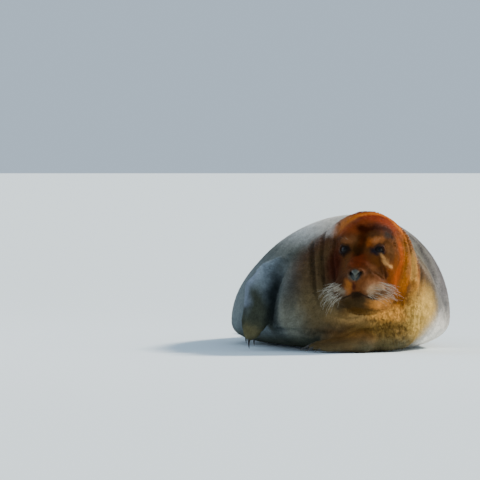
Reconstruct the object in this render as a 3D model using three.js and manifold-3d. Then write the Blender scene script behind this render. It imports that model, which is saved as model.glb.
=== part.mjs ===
// A bearded seal lying on its belly with its neck drawn in, its head up and turned to its right.
// Millimetres, +Z up, nose towards -Y, the seal's own left side towards +X.
// The origin is on the flat of the belly, below the middle of the back.
import * as THREE from "three";
import { mergeVertices } from "three/addons/utils/BufferGeometryUtils.js";
import Module from "manifold-3d";

const wasm = await Module();
wasm.setup();

// Driving dimensions
const GAP = 0.3; // between two parts that meet
const HEAD_TURN = THREE.MathUtils.degToRad(-21.5);
const BETWEEN_EYES = new THREE.Vector3(-22, -900, 306);
const EYE_RADIUS = 18.5;
const EYE_PLACE = { across: 47, back: 13, up: 3 };
const ROUND_TOP = 2.02; // exponent of the torso's section above its widest level
const ROUND_BELLY = 2.6; // and below it, where the weight presses the flanks out
const NECK_BLEND = 70; // how far the head and the torso run into each other
const ELBOW_BLEND = 10;
const WRIST_BLEND = 36;
const WEB_THICKNESS = 0.8; // of the digits'

// Where the body is parted: the ends of its lengths along the back, and the top of the chest.
const NECK_END = -620;
const SHOULDERS_END = -250;
const TRUNK_END = 330;
const HIPS_END = 880;
const CHEST_TOP = 176;

// The head is parted from the neck by a cone that opens forwards from its tip behind the skull, so
// that it crosses the hollow all round the face squarely. It widens by these for each 1 forwards.
const HEAD_CONE = { tip: 185, up: -10, wide: 0.88, tall: 1.1, length: 400, sides: 20 };

// The planes that part the muzzle and the lower jaw from the head, each by a point of it and the way
// that it faces, in the head's own frame.
const MUZZLE_BACK = { point: [0, 8, -60], way: [0, 0.87, 0.5] };
const MOUTH = { point: [0, -20, -137], way: [0, 0.16, -0.987] };

// The torso is a row of sections along the back. Each has its half width, the height of the back,
// the level of its widest part, how far the belly is pressed past the floor, and its middle.
const SECTIONS = [
  { along: -878, half: 0, top: 148, level: 148, press: -148, middle: -20 },
  { along: -800, half: 188, top: 318, level: 138, press: -16, middle: -20 },
  { along: -640, half: 257, top: 374, level: 120, press: 3, middle: -10 },
  { along: -450, half: 298, top: 417, level: 102, press: 8, middle: 14 },
  { along: -200, half: 321, top: 399, level: 92, press: 8, middle: 6 },
  { along: 100, half: 324, top: 343, level: 66, press: 8, middle: 3 },
  { along: 400, half: 266, top: 288, level: 74, press: 7, middle: 2 },
  { along: 700, half: 178, top: 222, level: 70, press: 4, middle: 10 },
  { along: 920, half: 102, top: 150, level: 62, press: -6, middle: 18 },
  { along: 1080, half: 0, top: 58, level: 58, press: -58, middle: 24 },
];

// Lumps that make the head, in the head's own frame: across to the seal's left, back from the face
// and up from the line of the eyes. A paired lump is repeated on the other side.
const HEAD_LUMPS = [
  { name: "cranium", at: [-5, 88, 10], half: [94, 100, 92], blend: 1 },
  { name: "nape", at: [-24, 168, -12], half: [122, 108, 128], blend: 40 },
  { name: "temple", at: [42, 80, -34], half: [56, 76, 62], blend: 30, paired: true },
  { name: "brow", at: [42, 30, 34], half: [34, 34, 18], blend: 22, paired: true },
  { name: "snout", at: [0, -6, -50], half: [43, 62, 42], blend: 34 },
  { name: "cheek", at: [50, 34, -80], half: [40, 54, 48], blend: 34, paired: true },
  { name: "muzzle", at: [0, -20, -92], half: [60, 51, 48], blend: 26 },
  { name: "whisker_pad", at: [41, -30, -114], half: [42, 37, 36], blend: 24, paired: true },
  { name: "nose", at: [0, -61, -74], half: [27, 17, 19], blend: 18 },
  { name: "chin", at: [0, -8, -151], half: [44, 48, 26], blend: 12 },
  { name: "jaw", at: [42, 42, -134], half: [40, 62, 38], blend: 34, paired: true },
  { name: "throat", at: [0, 96, -140], half: [96, 92, 66], blend: 50 },
];

// A flipper lies in a plane of its own: along it from the wrist, across it, and out of its back.
// Its digits run from the wrist to their tips, and a web joins them.
const FORE = {
  digits: [[-40, 104], [-22, 132], [0, 146], [21, 134], [38, 106]],
  rootRadius: 20,
  tipRadius: 12,
  thickness: [22, 10], // half, at the wrist and at the tips
  web: 40,
  cell: [30, 19, 15],
  claw: { radius: 5.6, length: 36, droop: 9, set: 6, lift: 0.1 },
};
const HIND = {
  digits: [[-24, 248], [-14, 214], [0, 198], [14, 214], [24, 248]],
  rootRadius: 18,
  tipRadius: 11,
  thickness: [18, 9],
  web: 30,
  cell: [40, 24, 16],
  claw: { radius: 3.4, length: 17, droop: 3, set: -14, lift: 0.75 },
};

// Where each flipper lies: its arm's joints, the last one the wrist, and its radius at them, the way
// its digits point, the way its back faces, how far its digits spread and how it curls.
const LIMBS = [
  {
    name: "foreflipper_right",
    build: FORE,
    arm: [[-230, -608, 246], [-262, -596, 224], [-291, -586, 187]],
    armRadius: [40, 46, 38],
    digitsTowards: [-0.2, 0.0, -0.98],
    backFaces: [-0.76, -0.64, 0.0],
    spread: 0.85,
    curl: -0.4,
  },
  {
    name: "foreflipper_left",
    build: FORE,
    arm: [[104, -764, 57], [54, -820, 53], [-20, -872, 32]],
    armRadius: [50, 50, 33],
    digitsTowards: [-1, 0.02, -0.09],
    backFaces: [0.0, -0.2, 0.98],
    spread: 1.05,
    curl: 0.0,
  },
  {
    name: "hindflipper_right",
    build: HIND,
    arm: [[-44, 872, 66], [-72, 950, 54], [-88, 1012, 42]],
    armRadius: [46, 40, 34],
    digitsTowards: [-0.12, 0.98, -0.05],
    backFaces: [-0.34, 0.0, 0.94],
    spread: 2.5,
    curl: 0.0,
  },
  {
    name: "hindflipper_left",
    build: HIND,
    arm: [[78, 872, 66], [106, 950, 54], [122, 1012, 42]],
    armRadius: [46, 40, 34],
    digitsTowards: [0.12, 0.98, -0.05],
    backFaces: [0.3, 0.0, 0.95],
    spread: 2.5,
    curl: 0.0,
  },
];

// Where the planes of the meshing grids lie, as runs from one coordinate to the next with the
// spacing between: closer about the head, wider along the back.
const TORSO_GRID = [
  [[-430, 68, -170], [-170, 44, 120], [120, 68, 430]],
  [[-1080, 42, -620], [-620, 100, 860], [860, 66, 1180]],
  [[-80, 62, 130], [130, 48, 500]],
];
const HEAD_GRID = [[[-180, 21, 180]], [[-130, 20, 60], [60, 32, 250]], [[-210, 20, 160]]];

const COLOURS = {
  back: [0x77746c, 0.75],
  flank: [0x8d8a80, 0.75],
  rust: [0x8a4319, 0.7],
  cheek: [0xb06a2a, 0.7],
  flipper: [0x5f574b, 0.7],
  eye: [0x0b0a0c, 0.08],
  claw: [0x241f1b, 0.4],
};

// Small mathematics

// The smaller of two distances, rounded where they are within reach of each other.
const blended = (a, b, reach) => {
  const h = Math.max(reach - Math.abs(a - b), 0) / reach;
  return Math.min(a, b) - (h * h * reach) / 4;
};

const clamp = THREE.MathUtils.clamp;
const mix = THREE.MathUtils.lerp;

// How far outside an ellipsoid a point is, close to its surface.
function outsideEllipsoid(x, y, z, at, half) {
  const [px, py, pz] = [x - at[0], y - at[1], z - at[2]];
  const near = Math.hypot(px / half[0], py / half[1], pz / half[2]);
  const slope = Math.hypot(px / half[0] ** 2, py / half[1] ** 2, pz / half[2] ** 2);
  return slope < 1e-9 ? -Math.min(...half) : (near * (near - 1)) / slope;
}

// How far outside a tapered bar a point is.
function outsideBar(p, a, b, radiusA, radiusB) {
  const run = new THREE.Vector3().subVectors(b, a);
  const t = clamp(new THREE.Vector3().subVectors(p, a).dot(run) / run.lengthSq(), 0, 1);
  return p.distanceTo(run.multiplyScalar(t).add(a)) - mix(radiusA, radiusB, t);
}

// A smooth curve through the sections' values of one measure.
function curveOf(measure) {
  const at = SECTIONS.map((s) => s.along);
  const value = SECTIONS.map(measure);
  const last = at.length - 1;
  const slope = value.map((v, i) => {
    const [before, after] = [Math.max(i - 1, 0), Math.min(i + 1, last)];
    return (value[after] - value[before]) / (at[after] - at[before]);
  });
  return (y) => {
    let i = 0;
    while (i < last - 1 && y > at[i + 1]) i++;
    const span = at[i + 1] - at[i];
    const t = clamp((y - at[i]) / span, 0, 1);
    const [t2, t3] = [t * t, t * t * t];
    return (
      (2 * t3 - 3 * t2 + 1) * value[i] +
      (t3 - 2 * t2 + t) * span * slope[i] +
      (3 * t2 - 2 * t3) * value[i + 1] +
      (t3 - t2) * span * slope[i + 1]
    );
  };
}

// Squares are interpolated, so that the torso closes in a round end where they reach zero.
const halfSquared = curveOf((s) => s.half ** 2);
const topSquared = curveOf((s) => (s.top - s.level) ** 2);
const bellySquared = curveOf((s) => (s.level + s.press) ** 2);
const levelOf = curveOf((s) => s.level);
const middleOf = curveOf((s) => s.middle);
const [FRONT, REAR] = [SECTIONS[0].along, SECTIONS.at(-1).along];

function outsideTorso(x, y, z) {
  const across = x - middleOf(y);
  const up = z - levelOf(y);
  const beyond = Math.max(FRONT - y, y - REAR, 0);
  const half = Math.sqrt(Math.max(halfSquared(y), 0));
  const [top, belly] = [topSquared(y), bellySquared(y)].map((v) => Math.sqrt(Math.max(v, 0)));
  const least = Math.min(half, top, belly);
  if (beyond > 0 || least < 1) return Math.hypot(across, up, beyond);
  const round = up > 0 ? ROUND_TOP : ROUND_BELLY;
  const tall = up > 0 ? top : belly;
  const size = (Math.abs(across / half) ** round + Math.abs(up / tall) ** round) ** (1 / round);
  return (size - 1) * least;
}

// The head's frame in the seal's.
const headFrame = new THREE.Group();
headFrame.position.copy(BETWEEN_EYES);
headFrame.rotation.z = HEAD_TURN;
headFrame.updateMatrixWorld(true);
const intoHead = headFrame.matrixWorld.clone().invert();

function outsideHead(x, y, z) {
  const p = new THREE.Vector3(x, y, z).applyMatrix4(intoHead);
  let d = Infinity;
  for (const lump of HEAD_LUMPS) {
    const sides = lump.paired ? [1, -1] : [1];
    for (const side of sides) {
      const e = outsideEllipsoid(side * p.x, p.y, p.z, lump.at, lump.half);
      d = d === Infinity ? e : blended(d, e, lump.blend);
    }
  }
  return d;
}

const outsideBody = (x, y, z) => blended(outsideTorso(x, y, z), outsideHead(x, y, z), NECK_BLEND);

// A limb's flipper frame: X along the digits, Y across them, Z out of the flipper's back.
function frameOf(limb) {
  const along = new THREE.Vector3(...limb.digitsTowards).normalize();
  const out = new THREE.Vector3(...limb.backFaces);
  const across = new THREE.Vector3().crossVectors(out, along).normalize();
  out.crossVectors(along, across);
  const frame = new THREE.Group();
  frame.matrix.makeBasis(along, across, out).setPosition(...limb.arm.at(-1));
  frame.matrix.decompose(frame.position, frame.quaternion, frame.scale);
  frame.updateMatrixWorld(true);
  return frame;
}

// The digits' tips, across and along, as far apart as the limb spreads them.
const tipsOf = ({ build, spread }) => build.digits.map(([across, along]) => [across * spread, along]);

// How far the flipper's middle surface has curled away from its back at a place along it.
const curlAt = (limb, along) => 0.001 * limb.curl * Math.max(along, 0) ** 2;

// How far outside a flipper and its arm a point of its frame is.
function limbField(limb, frame) {
  const { build } = limb;
  const into = frame.matrixWorld.clone().invert();
  const joints = limb.arm.map((p) => new THREE.Vector3(...p).applyMatrix4(into));
  const tips = tipsOf(limb);
  const reach = Math.max(...tips.map(([, along]) => along));
  const [p, flat] = [new THREE.Vector3(), new THREE.Vector3()];
  const [root, tip] = [new THREE.Vector3(), new THREE.Vector3()];
  return (x, y, z) => {
    p.set(x, y, z);
    let arm = Infinity;
    for (let i = 0; i < joints.length - 1; i++) {
      const bar = outsideBar(p, joints[i], joints[i + 1], limb.armRadius[i], limb.armRadius[i + 1]);
      arm = arm === Infinity ? bar : blended(arm, bar, ELBOW_BLEND);
    }
    flat.set(x, y, 0);
    let outline = Infinity;
    let bone = Infinity;
    build.digits.forEach(([across], n) => {
      root.set(0, across, 0);
      tip.set(tips[n][1], tips[n][0], 0);
      const bar = outsideBar(flat, root, tip, build.rootRadius, build.tipRadius);
      outline = outline === Infinity ? bar : blended(outline, bar, build.web);
      bone = Math.min(bone, bar);
    });
    const onDigit = clamp(-bone / build.tipRadius, 0, 1);
    const thick = mix(...build.thickness, clamp(x / reach, 0, 1)) * mix(WEB_THICKNESS, 1, onDigit);
    const hand = Math.hypot(Math.max(outline + thick, 0), z + curlAt(limb, x)) - thick;
    return blended(arm, hand, WRIST_BLEND);
  };
}

// Solids

// A cell's corners, its edges as pairs of corners, and its faces as rings of corners.
const CORNERS = [0, 1, 2, 3, 4, 5, 6, 7].map((c) => [c & 1, (c >> 1) & 1, (c >> 2) & 1]);
const EDGES = CORNERS.flatMap((_, a) => [1, 2, 4].filter((bit) => !(a & bit)).map((bit) => [a, a | bit]));
const FACES = [0, 1, 2].flatMap((axis) => {
  const [u, w] = [1 << (axis + 1) % 3, 1 << (axis + 2) % 3];
  return [0, 1 << axis].map((side) => [side, side | u, side | u | w, side | w]);
});

// The sheets of surface in a cell, each as a list of the edges that it crosses. On a face that it
// crosses four times, each inside corner keeps the two crossings beside it.
function sheetsIn(inside) {
  const group = EDGES.map((_, n) => n);
  const find = (n) => (group[n] === n ? n : find(group[n]));
  const edgeOf = (a, b) => EDGES.findIndex(([p, q]) => p === Math.min(a, b) && q === Math.max(a, b));
  for (const ring of FACES) {
    const crossed = ring
      .map((a, n) => [a, ring[(n + 1) % 4]])
      .filter(([a, b]) => inside[a] !== inside[b])
      .map(([a, b]) => edgeOf(a, b));
    if (crossed.length === 2) group[find(crossed[0])] = find(crossed[1]);
    if (crossed.length === 4)
      ring.forEach((a, n) => {
        if (!inside[a]) return;
        const [before, after] = [edgeOf(ring[(n + 3) % 4], a), edgeOf(a, ring[(n + 1) % 4])];
        group[find(before)] = find(after);
      });
  }
  const sheets = new Map();
  EDGES.forEach(([a, b], n) => {
    if (inside[a] === inside[b]) return;
    const root = find(n);
    if (!sheets.has(root)) sheets.set(root, []);
    sheets.get(root).push(n);
  });
  return [...sheets.values()];
}

// The coordinates of one axis of a grid.
function planesOf(runs) {
  const planes = [runs[0][0]];
  for (const [from, spacing, to] of runs) {
    const steps = Math.round((to - from) / spacing);
    for (let n = 1; n <= steps; n++) planes.push(mix(from, to, n / steps));
  }
  return planes;
}

// A closed surface where a field is zero: a vertex in each cell that the surface crosses, moved
// onto the surface, and a pair of triangles for each grid edge that passes through it.
function surfaceOf(field, grid) {
  const planes = grid.map(planesOf);
  const count = planes.map((list) => list.length);
  const least = Math.min(...planes.map((list) => Math.min(...list.slice(1).map((v, n) => v - list[n]))));
  const nodeAt = (i, j, k) => (k * count[1] + j) * count[0] + i;
  const edge = (i, axis) => i === 0 || i === count[axis] - 1;
  const value = new Float32Array(count[0] * count[1] * count[2]);
  for (let k = 0; k < count[2]; k++)
    for (let j = 0; j < count[1]; j++)
      for (let i = 0; i < count[0]; i++) {
        const d = field(planes[0][i], planes[1][j], planes[2][k]);
        value[nodeAt(i, j, k)] = edge(i, 0) || edge(j, 1) || edge(k, 2) ? Math.max(d, least / 2) : d;
      }

  // A cell gets a vertex for each sheet of the surface in it, so that sheets which only pass
  // close by each other stay apart.
  const vertexOn = new Map();
  const points = [];
  for (let k = 0; k < count[2] - 1; k++)
    for (let j = 0; j < count[1] - 1; j++)
      for (let i = 0; i < count[0] - 1; i++) {
        const v = CORNERS.map(([a, b, c]) => value[nodeAt(i + a, j + b, k + c)]);
        for (const sheet of sheetsIn(v.map((d) => d < 0))) {
          const middle = new THREE.Vector3();
          for (const n of sheet) {
            const [a, b] = EDGES[n];
            const from = new THREE.Vector3(...CORNERS[a]);
            middle.add(from.lerp(new THREE.Vector3(...CORNERS[b]), v[a] / (v[a] - v[b])));
            vertexOn.set(nodeAt(i, j, k) * EDGES.length + n, points.length);
          }
          middle.divideScalar(sheet.length);
          points.push(new THREE.Vector3(
            mix(planes[0][i], planes[0][i + 1], middle.x),
            mix(planes[1][j], planes[1][j + 1], middle.y),
            mix(planes[2][k], planes[2][k + 1], middle.z),
          ));
        }
      }

  const quads = [];
  for (let k = 0; k < count[2] - 1; k++)
    for (let j = 0; j < count[1] - 1; j++)
      for (let i = 0; i < count[0] - 1; i++)
        for (let axis = 0; axis < 3; axis++) {
          const [u, w] = [(axis + 1) % 3, (axis + 2) % 3];
          if ([i, j, k][u] === 0 || [i, j, k][w] === 0) continue;
          const step = [0, 0, 0];
          step[axis] = 1;
          const inside = value[nodeAt(i, j, k)] < 0;
          if (inside === value[nodeAt(i + step[0], j + step[1], k + step[2])] < 0) continue;
          const around = [[0, 0], [1, 0], [1, 1], [0, 1]].map(([a, b]) => {
            const c = [i, j, k];
            c[u] -= a;
            c[w] -= b;
            const corner = (a << u) | (b << w);
            const n = EDGES.findIndex(([p, q]) => p === corner && q === (corner | (1 << axis)));
            return vertexOn.get(nodeAt(...c) * EDGES.length + n);
          });
          quads.push(inside ? around : around.reverse());
        }
  settle(field, points, quads, least);

  const index = quads.flatMap(([a, b, c, d]) =>
    points[a].distanceTo(points[c]) < points[b].distanceTo(points[d])
      ? [a, b, c, a, c, d]
      : [a, b, d, b, c, d],
  );
  const geometry = new THREE.BufferGeometry().setFromPoints(points);
  geometry.setIndex(index);
  return geometry;
}

// The way out of a field at a point.
function slopeAt(field, p, step = 0.5) {
  return new THREE.Vector3(
    field(p.x + step, p.y, p.z) - field(p.x - step, p.y, p.z),
    field(p.x, p.y + step, p.z) - field(p.x, p.y - step, p.z),
    field(p.x, p.y, p.z + step) - field(p.x, p.y, p.z - step),
  ).divideScalar(2 * step);
}

// Evens the vertices out and puts each one back on the surface.
function settle(field, points, quads, reach) {
  const rounds = 3;
  for (let round = 0; round <= rounds; round++) {
    const sums = points.map(() => new THREE.Vector3());
    const counts = points.map(() => 0);
    for (const quad of quads)
      quad.forEach((a, n) => {
        sums[a].add(points[quad[(n + 1) % 4]]);
        counts[a]++;
      });
    points.forEach((p, n) => {
      if (round < rounds) p.lerp(sums[n].divideScalar(counts[n]), 0.5);
      for (let pull = 0; pull < 2; pull++) {
        const d = field(p.x, p.y, p.z);
        if (Math.abs(d) > reach) break;
        const slope = slopeAt(field, p);
        p.addScaledVector(slope, clamp(-d / slope.lengthSq(), -reach / 2, reach / 2));
      }
    });
  }
}

// A geometry moved outwards by a distance, for cutting the room that a part needs.
function swollen(geometry, by) {
  const bare = geometry.clone();
  for (const name of ["normal", "uv"]) bare.deleteAttribute(name);
  const merged = mergeVertices(bare, 1e-3);
  merged.computeVertexNormals();
  const { position, normal } = merged.attributes;
  for (let i = 0; i < position.count; i++) {
    const p = new THREE.Vector3().fromBufferAttribute(position, i);
    p.addScaledVector(new THREE.Vector3().fromBufferAttribute(normal, i), by);
    position.setXYZ(i, p.x, p.y, p.z);
  }
  return merged;
}

function solidOf(geometry, matrix = new THREE.Matrix4()) {
  const bare = geometry.clone().applyMatrix4(matrix);
  for (const name of ["normal", "uv"]) bare.deleteAttribute(name);
  const merged = mergeVertices(bare, 1e-3);
  return new wasm.Manifold(
    new wasm.Mesh({
      numProp: 3,
      vertProperties: new Float32Array(merged.attributes.position.array),
      triVerts: new Uint32Array(merged.index.array),
    }),
  );
}

// The largest body of a solid as a geometry in the frame of matrix.
function geometryOf(solid, matrix = new THREE.Matrix4()) {
  const bodies = solid.decompose().sort((a, b) => b.volume() - a.volume());
  const { numProp, numVert, vertProperties, triVerts } = bodies[0].getMesh();
  const position = new Float32Array(numVert * 3);
  for (let i = 0; i < numVert; i++)
    position.set(vertProperties.subarray(i * numProp, i * numProp + 3), i * 3);
  const geometry = new THREE.BufferGeometry();
  geometry.setAttribute("position", new THREE.BufferAttribute(position, 3));
  geometry.setIndex(new THREE.BufferAttribute(new Uint32Array(triVerts), 1));
  geometry.applyMatrix4(matrix.clone().invert());
  geometry.computeVertexNormals();
  return geometry;
}

// A block that holds everything on the far side of a plane.
function beyond(point, normal) {
  const reach = 4000;
  const way = new THREE.Vector3(...normal).normalize();
  const turn = new THREE.Quaternion().setFromUnitVectors(new THREE.Vector3(0, 0, 1), way);
  const middle = new THREE.Vector3(...point).addScaledVector(way, reach / 2);
  const matrix = new THREE.Matrix4().compose(middle, turn, new THREE.Vector3(1, 1, 1));
  return solidOf(new THREE.BoxGeometry(reach, reach, reach), matrix);
}

const seal = new THREE.Group();

function addMesh(name, geometry, colour, frame = seal) {
  const [hue, roughness] = COLOURS[colour];
  const material = new THREE.MeshStandardMaterial({ color: hue, roughness, metalness: 0 });
  const mesh = new THREE.Mesh(geometry, material);
  mesh.name = name;
  frame.add(mesh);
  return mesh;
}

const aboveFloor = beyond([0, 0, 0], [0, 0, 1]);

// Eyes are balls set in sockets.
seal.add(headFrame);
const sockets = [];
for (const [name, side] of [["eye_left", 1], ["eye_right", -1]]) {
  const ball = new THREE.SphereGeometry(EYE_RADIUS, 12, 8);
  const eye = addMesh(name, ball, "eye", headFrame);
  eye.position.set(side * EYE_PLACE.across, EYE_PLACE.back, EYE_PLACE.up);
  eye.updateMatrixWorld(true);
  const socket = new THREE.SphereGeometry(EYE_RADIUS + 2 * GAP, 12, 8);
  sockets.push(solidOf(socket, eye.matrixWorld));
}

// A claw is a flattened cone with a bend.
function clawGeometry({ radius, length, droop }) {
  const claw = new THREE.ConeGeometry(radius, length, 6, 2);
  claw.rotateZ(-Math.PI / 2).translate(length / 2, 0, 0);
  const { position } = claw.attributes;
  for (let i = 0; i < position.count; i++) {
    const x = position.getX(i);
    position.setZ(i, position.getZ(i) * 1.25 - droop * (x / length) ** 2);
  }
  return claw;
}

// Flippers, each with five claws set in its digits.
const limbSolids = [];
for (const limb of LIMBS) {
  const { build } = limb;
  const frame = frameOf(limb);
  seal.add(frame);
  const into = frame.matrixWorld.clone().invert();
  const tips = tipsOf(limb);
  const around = new THREE.Box3();
  for (const joint of limb.arm) around.expandByPoint(new THREE.Vector3(...joint).applyMatrix4(into));
  around.expandByScalar(Math.max(...limb.armRadius));
  for (const [across, along] of tips)
    for (const side of [-1, 1])
      around.expandByPoint(new THREE.Vector3(along, across, 0).addScalar(side * build.rootRadius));
  around.expandByScalar(2 * build.cell[0]);
  const field = limbField(limb, frame);
  const [low, high] = [around.min.toArray(), around.max.toArray()];
  const whole = surfaceOf(field, build.cell.map((spacing, n) => [[low[n], spacing, high[n]]]));
  let flipper = solidOf(whole, frame.matrixWorld).intersect(aboveFloor);

  tips.forEach(([across, along], n) => {
    const { set, lift } = build.claw;
    const claw = new THREE.Group();
    claw.position.set(along + set, across, lift * build.thickness[1] - curlAt(limb, along));
    claw.rotation.z = Math.atan2(across - build.digits[n][0], along);
    frame.add(claw);
    claw.updateMatrixWorld(true);
    const geometry = clawGeometry(build.claw);
    const solid = solidOf(geometry, claw.matrixWorld).intersect(aboveFloor);
    addMesh(`claw_${limb.name}_${n + 1}`, geometryOf(solid, claw.matrixWorld), "claw", claw);
    flipper = flipper.subtract(solidOf(swollen(geometry, 2 * GAP), claw.matrixWorld));
  });
  limbSolids.push(solidOf(swollen(whole, 2 * GAP), frame.matrixWorld));
  addMesh(limb.name, geometryOf(flipper, frame.matrixWorld), "flipper", frame);
}

// The body is made whole, at two finenesses, and parted by thin cuts.
const torso = solidOf(surfaceOf(outsideBody, TORSO_GRID));
const inHeadFrame = (x, y, z) => {
  const p = new THREE.Vector3(x, y, z).applyMatrix4(headFrame.matrixWorld);
  return outsideBody(p.x, p.y, p.z);
};
const front = solidOf(surfaceOf(inHeadFrame, HEAD_GRID), headFrame.matrixWorld);

// Everything within the head's cone, with the cone moved back by a shift.
function headCone(shift) {
  const { tip, up, wide, tall, length, sides } = HEAD_CONE;
  const cone = new THREE.ConeGeometry(wide * length, length, sides);
  cone.scale(1, 1, tall / wide).translate(0, tip + shift - length / 2, up);
  return solidOf(cone, headFrame.matrixWorld);
}

const cutAlong = (y, side) => beyond([0, y + (side * GAP) / 2, 0], [0, side, 0]);
const cutAcross = (z, side) => beyond([0, 0, z + (side * GAP) / 2], [0, 0, side]);

const BODY_PARTS = [
  ["neck", "cheek", [cutAlong(NECK_END, -1), cutAcross(CHEST_TOP, 1)]],
  ["chest", "cheek", [cutAlong(NECK_END, -1), cutAcross(CHEST_TOP, -1)]],
  ["shoulders", "back", [cutAlong(NECK_END, 1), cutAlong(SHOULDERS_END, -1)]],
  ["trunk", "back", [cutAlong(SHOULDERS_END, 1), cutAlong(TRUNK_END, -1)]],
  ["hips", "back", [cutAlong(TRUNK_END, 1), cutAlong(HIPS_END, -1)]],
  ["tail", "flank", [cutAlong(HIPS_END, 1)]],
];
for (const [name, colour, cuts] of BODY_PARTS) {
  let solid = torso.intersect(aboveFloor).subtract(headCone(1.5 * GAP));
  for (const side of cuts) solid = solid.intersect(side);
  for (const limb of limbSolids) solid = solid.subtract(limb);
  addMesh(name, geometryOf(solid), colour);
}

// The head's own pieces: the skull's part with the eyes' sockets, the muzzle and the lower jaw.
function cutHead({ point, way }, side) {
  const facing = new THREE.Vector3(...way).normalize();
  const start = new THREE.Vector3(...point).addScaledVector(facing, (side * GAP) / 2);
  facing.multiplyScalar(side).applyQuaternion(headFrame.quaternion);
  return beyond(headFrame.localToWorld(start).toArray(), facing.toArray());
}
let head = front.intersect(headCone(0));
for (const socket of sockets) head = head.subtract(socket);
const HEAD_PARTS = [
  ["head", "rust", [cutHead(MUZZLE_BACK, 1), cutHead(MOUTH, -1)]],
  ["muzzle", "rust", [cutHead(MUZZLE_BACK, -1), cutHead(MOUTH, -1)]],
  ["lower_jaw", "cheek", [cutHead(MOUTH, 1)]],
];
for (const [name, colour, cuts] of HEAD_PARTS) {
  let solid = head;
  for (const side of cuts) solid = solid.intersect(side);
  addMesh(name, geometryOf(solid, headFrame.matrixWorld), colour, headFrame);
}

export default seal;
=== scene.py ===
# %% [markdown]
# # A bearded seal, life size
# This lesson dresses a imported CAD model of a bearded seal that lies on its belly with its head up.
# The CAD solids fix its size and pose. Blender adds one skin over all of the flesh, a coat of short
# fur, whiskers, eyes and claws. Lengths in the tables are millimetres, and each mesh is made in
# metres, in the same frame as the CAD: nose towards -Y, the seal's own left side towards +X.

# %% Load the fixed frame
import math

import bmesh
import bpy
import numpy as np
from mathutils import Matrix, Vector


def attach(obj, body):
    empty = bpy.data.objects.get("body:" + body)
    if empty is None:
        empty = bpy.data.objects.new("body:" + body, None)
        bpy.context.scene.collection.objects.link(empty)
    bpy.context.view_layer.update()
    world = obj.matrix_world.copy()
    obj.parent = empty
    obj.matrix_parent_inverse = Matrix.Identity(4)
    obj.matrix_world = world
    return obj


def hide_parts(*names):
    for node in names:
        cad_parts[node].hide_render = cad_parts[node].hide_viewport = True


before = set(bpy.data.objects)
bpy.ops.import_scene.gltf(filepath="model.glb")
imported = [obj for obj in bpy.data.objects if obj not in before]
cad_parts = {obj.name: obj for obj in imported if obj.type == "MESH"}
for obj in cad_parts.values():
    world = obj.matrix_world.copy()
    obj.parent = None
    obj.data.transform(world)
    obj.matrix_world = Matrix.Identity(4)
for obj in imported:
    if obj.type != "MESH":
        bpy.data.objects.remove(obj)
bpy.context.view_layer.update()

# %% [markdown]
# ## Camera, floor and light
# The seal is seen through a long lens from far away, from a little above its back. A pixel is 3 mm
# at the head, and the horizon is above the picture's middle. A camera can be placed by eye, but here
# it is worked out: it looks along a bearing, dips until the horizon falls on its row of pixels, and
# turns until the point between the eyes falls on its column. The studio has a pale floor, a warm low
# sun behind the seal on its left, a warm soft box low in front on the same side, and cool, weak
# light from the other side and from all round.

# %% Place the camera
BETWEEN_EYES = np.array([-22.0, -900.0, 306.0])
PIXELS = 480
FOCAL = 6000.0  # in pixels
SENSOR = 36  # mm
EYE_COLUMN = 361.8  # the column of pixels where the point between the eyes falls
HORIZON_ROW = 168.0
BEARING = math.radians(-7)
DISTANCE = 18.0  # metres, as the camera's height is
CAMERA_HEIGHT = 0.555

target = BETWEEN_EYES / 1000
camera_at = target + DISTANCE * np.array([math.sin(BEARING), -math.cos(BEARING), 0])
camera_at[2] = CAMERA_HEIGHT
dip = math.atan((PIXELS / 2 - HORIZON_ROW) / FOCAL)
turn = BEARING
for _ in range(20):
    right = np.array([math.cos(turn), math.sin(turn), 0])
    ahead = np.array([-math.sin(turn) * math.cos(dip), math.cos(turn) * math.cos(dip), -math.sin(dip)])
    way = target - camera_at
    turn += (EYE_COLUMN - PIXELS / 2 - FOCAL * (way @ right) / (way @ ahead)) / FOCAL


def in_scene(name, data):
    """An object of a mesh, lamp or lens, put into the scene."""
    made = bpy.data.objects.new(name, data)
    bpy.context.scene.collection.objects.link(made)
    return made


lens = bpy.data.cameras.new("long_lens")
lens.sensor_width = SENSOR
lens.lens = FOCAL * SENSOR / PIXELS
lens.clip_end = 900
camera = in_scene("camera", lens)
axes = np.stack([right, np.cross(right, ahead), -ahead], 1)
camera.matrix_world = Matrix.Translation(camera_at) @ Matrix(axes.tolist()).to_4x4()
bpy.context.scene.camera = camera
print("camera", camera_at.round(3), "turned", round(math.degrees(turn), 2), "degrees")


# %% Lay the floor and hang the lamps
def new_material(name):
    """A material, its node tree and its shader."""
    made = bpy.data.materials.new(name)
    made.use_nodes = True
    return made, made.node_tree, made.node_tree.nodes["Principled BSDF"]


def wire(tree, made, inputs):
    """Links a node's inputs to other nodes, or sets them to plain values."""
    for key, value in inputs.items():
        socket = made.inputs[key]
        if isinstance(value, bpy.types.NodeSocket):
            tree.links.new(value, socket)
        else:
            socket.default_value = value


def lamp(name, kind, place, aim, size, power, colour):
    """A soft box of a given size, or a sun whose size is the width of its disc in radians."""
    light = bpy.data.lights.new(name, kind)
    light.energy = power
    light.color = colour
    if kind == "AREA":
        light.size = size
    else:
        light.angle = size
    made = in_scene(name, light)
    towards = (Vector(aim) - Vector(place)).to_track_quat("-Z", "Y")
    made.matrix_world = Matrix.Translation(place) @ towards.to_matrix().to_4x4()


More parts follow.
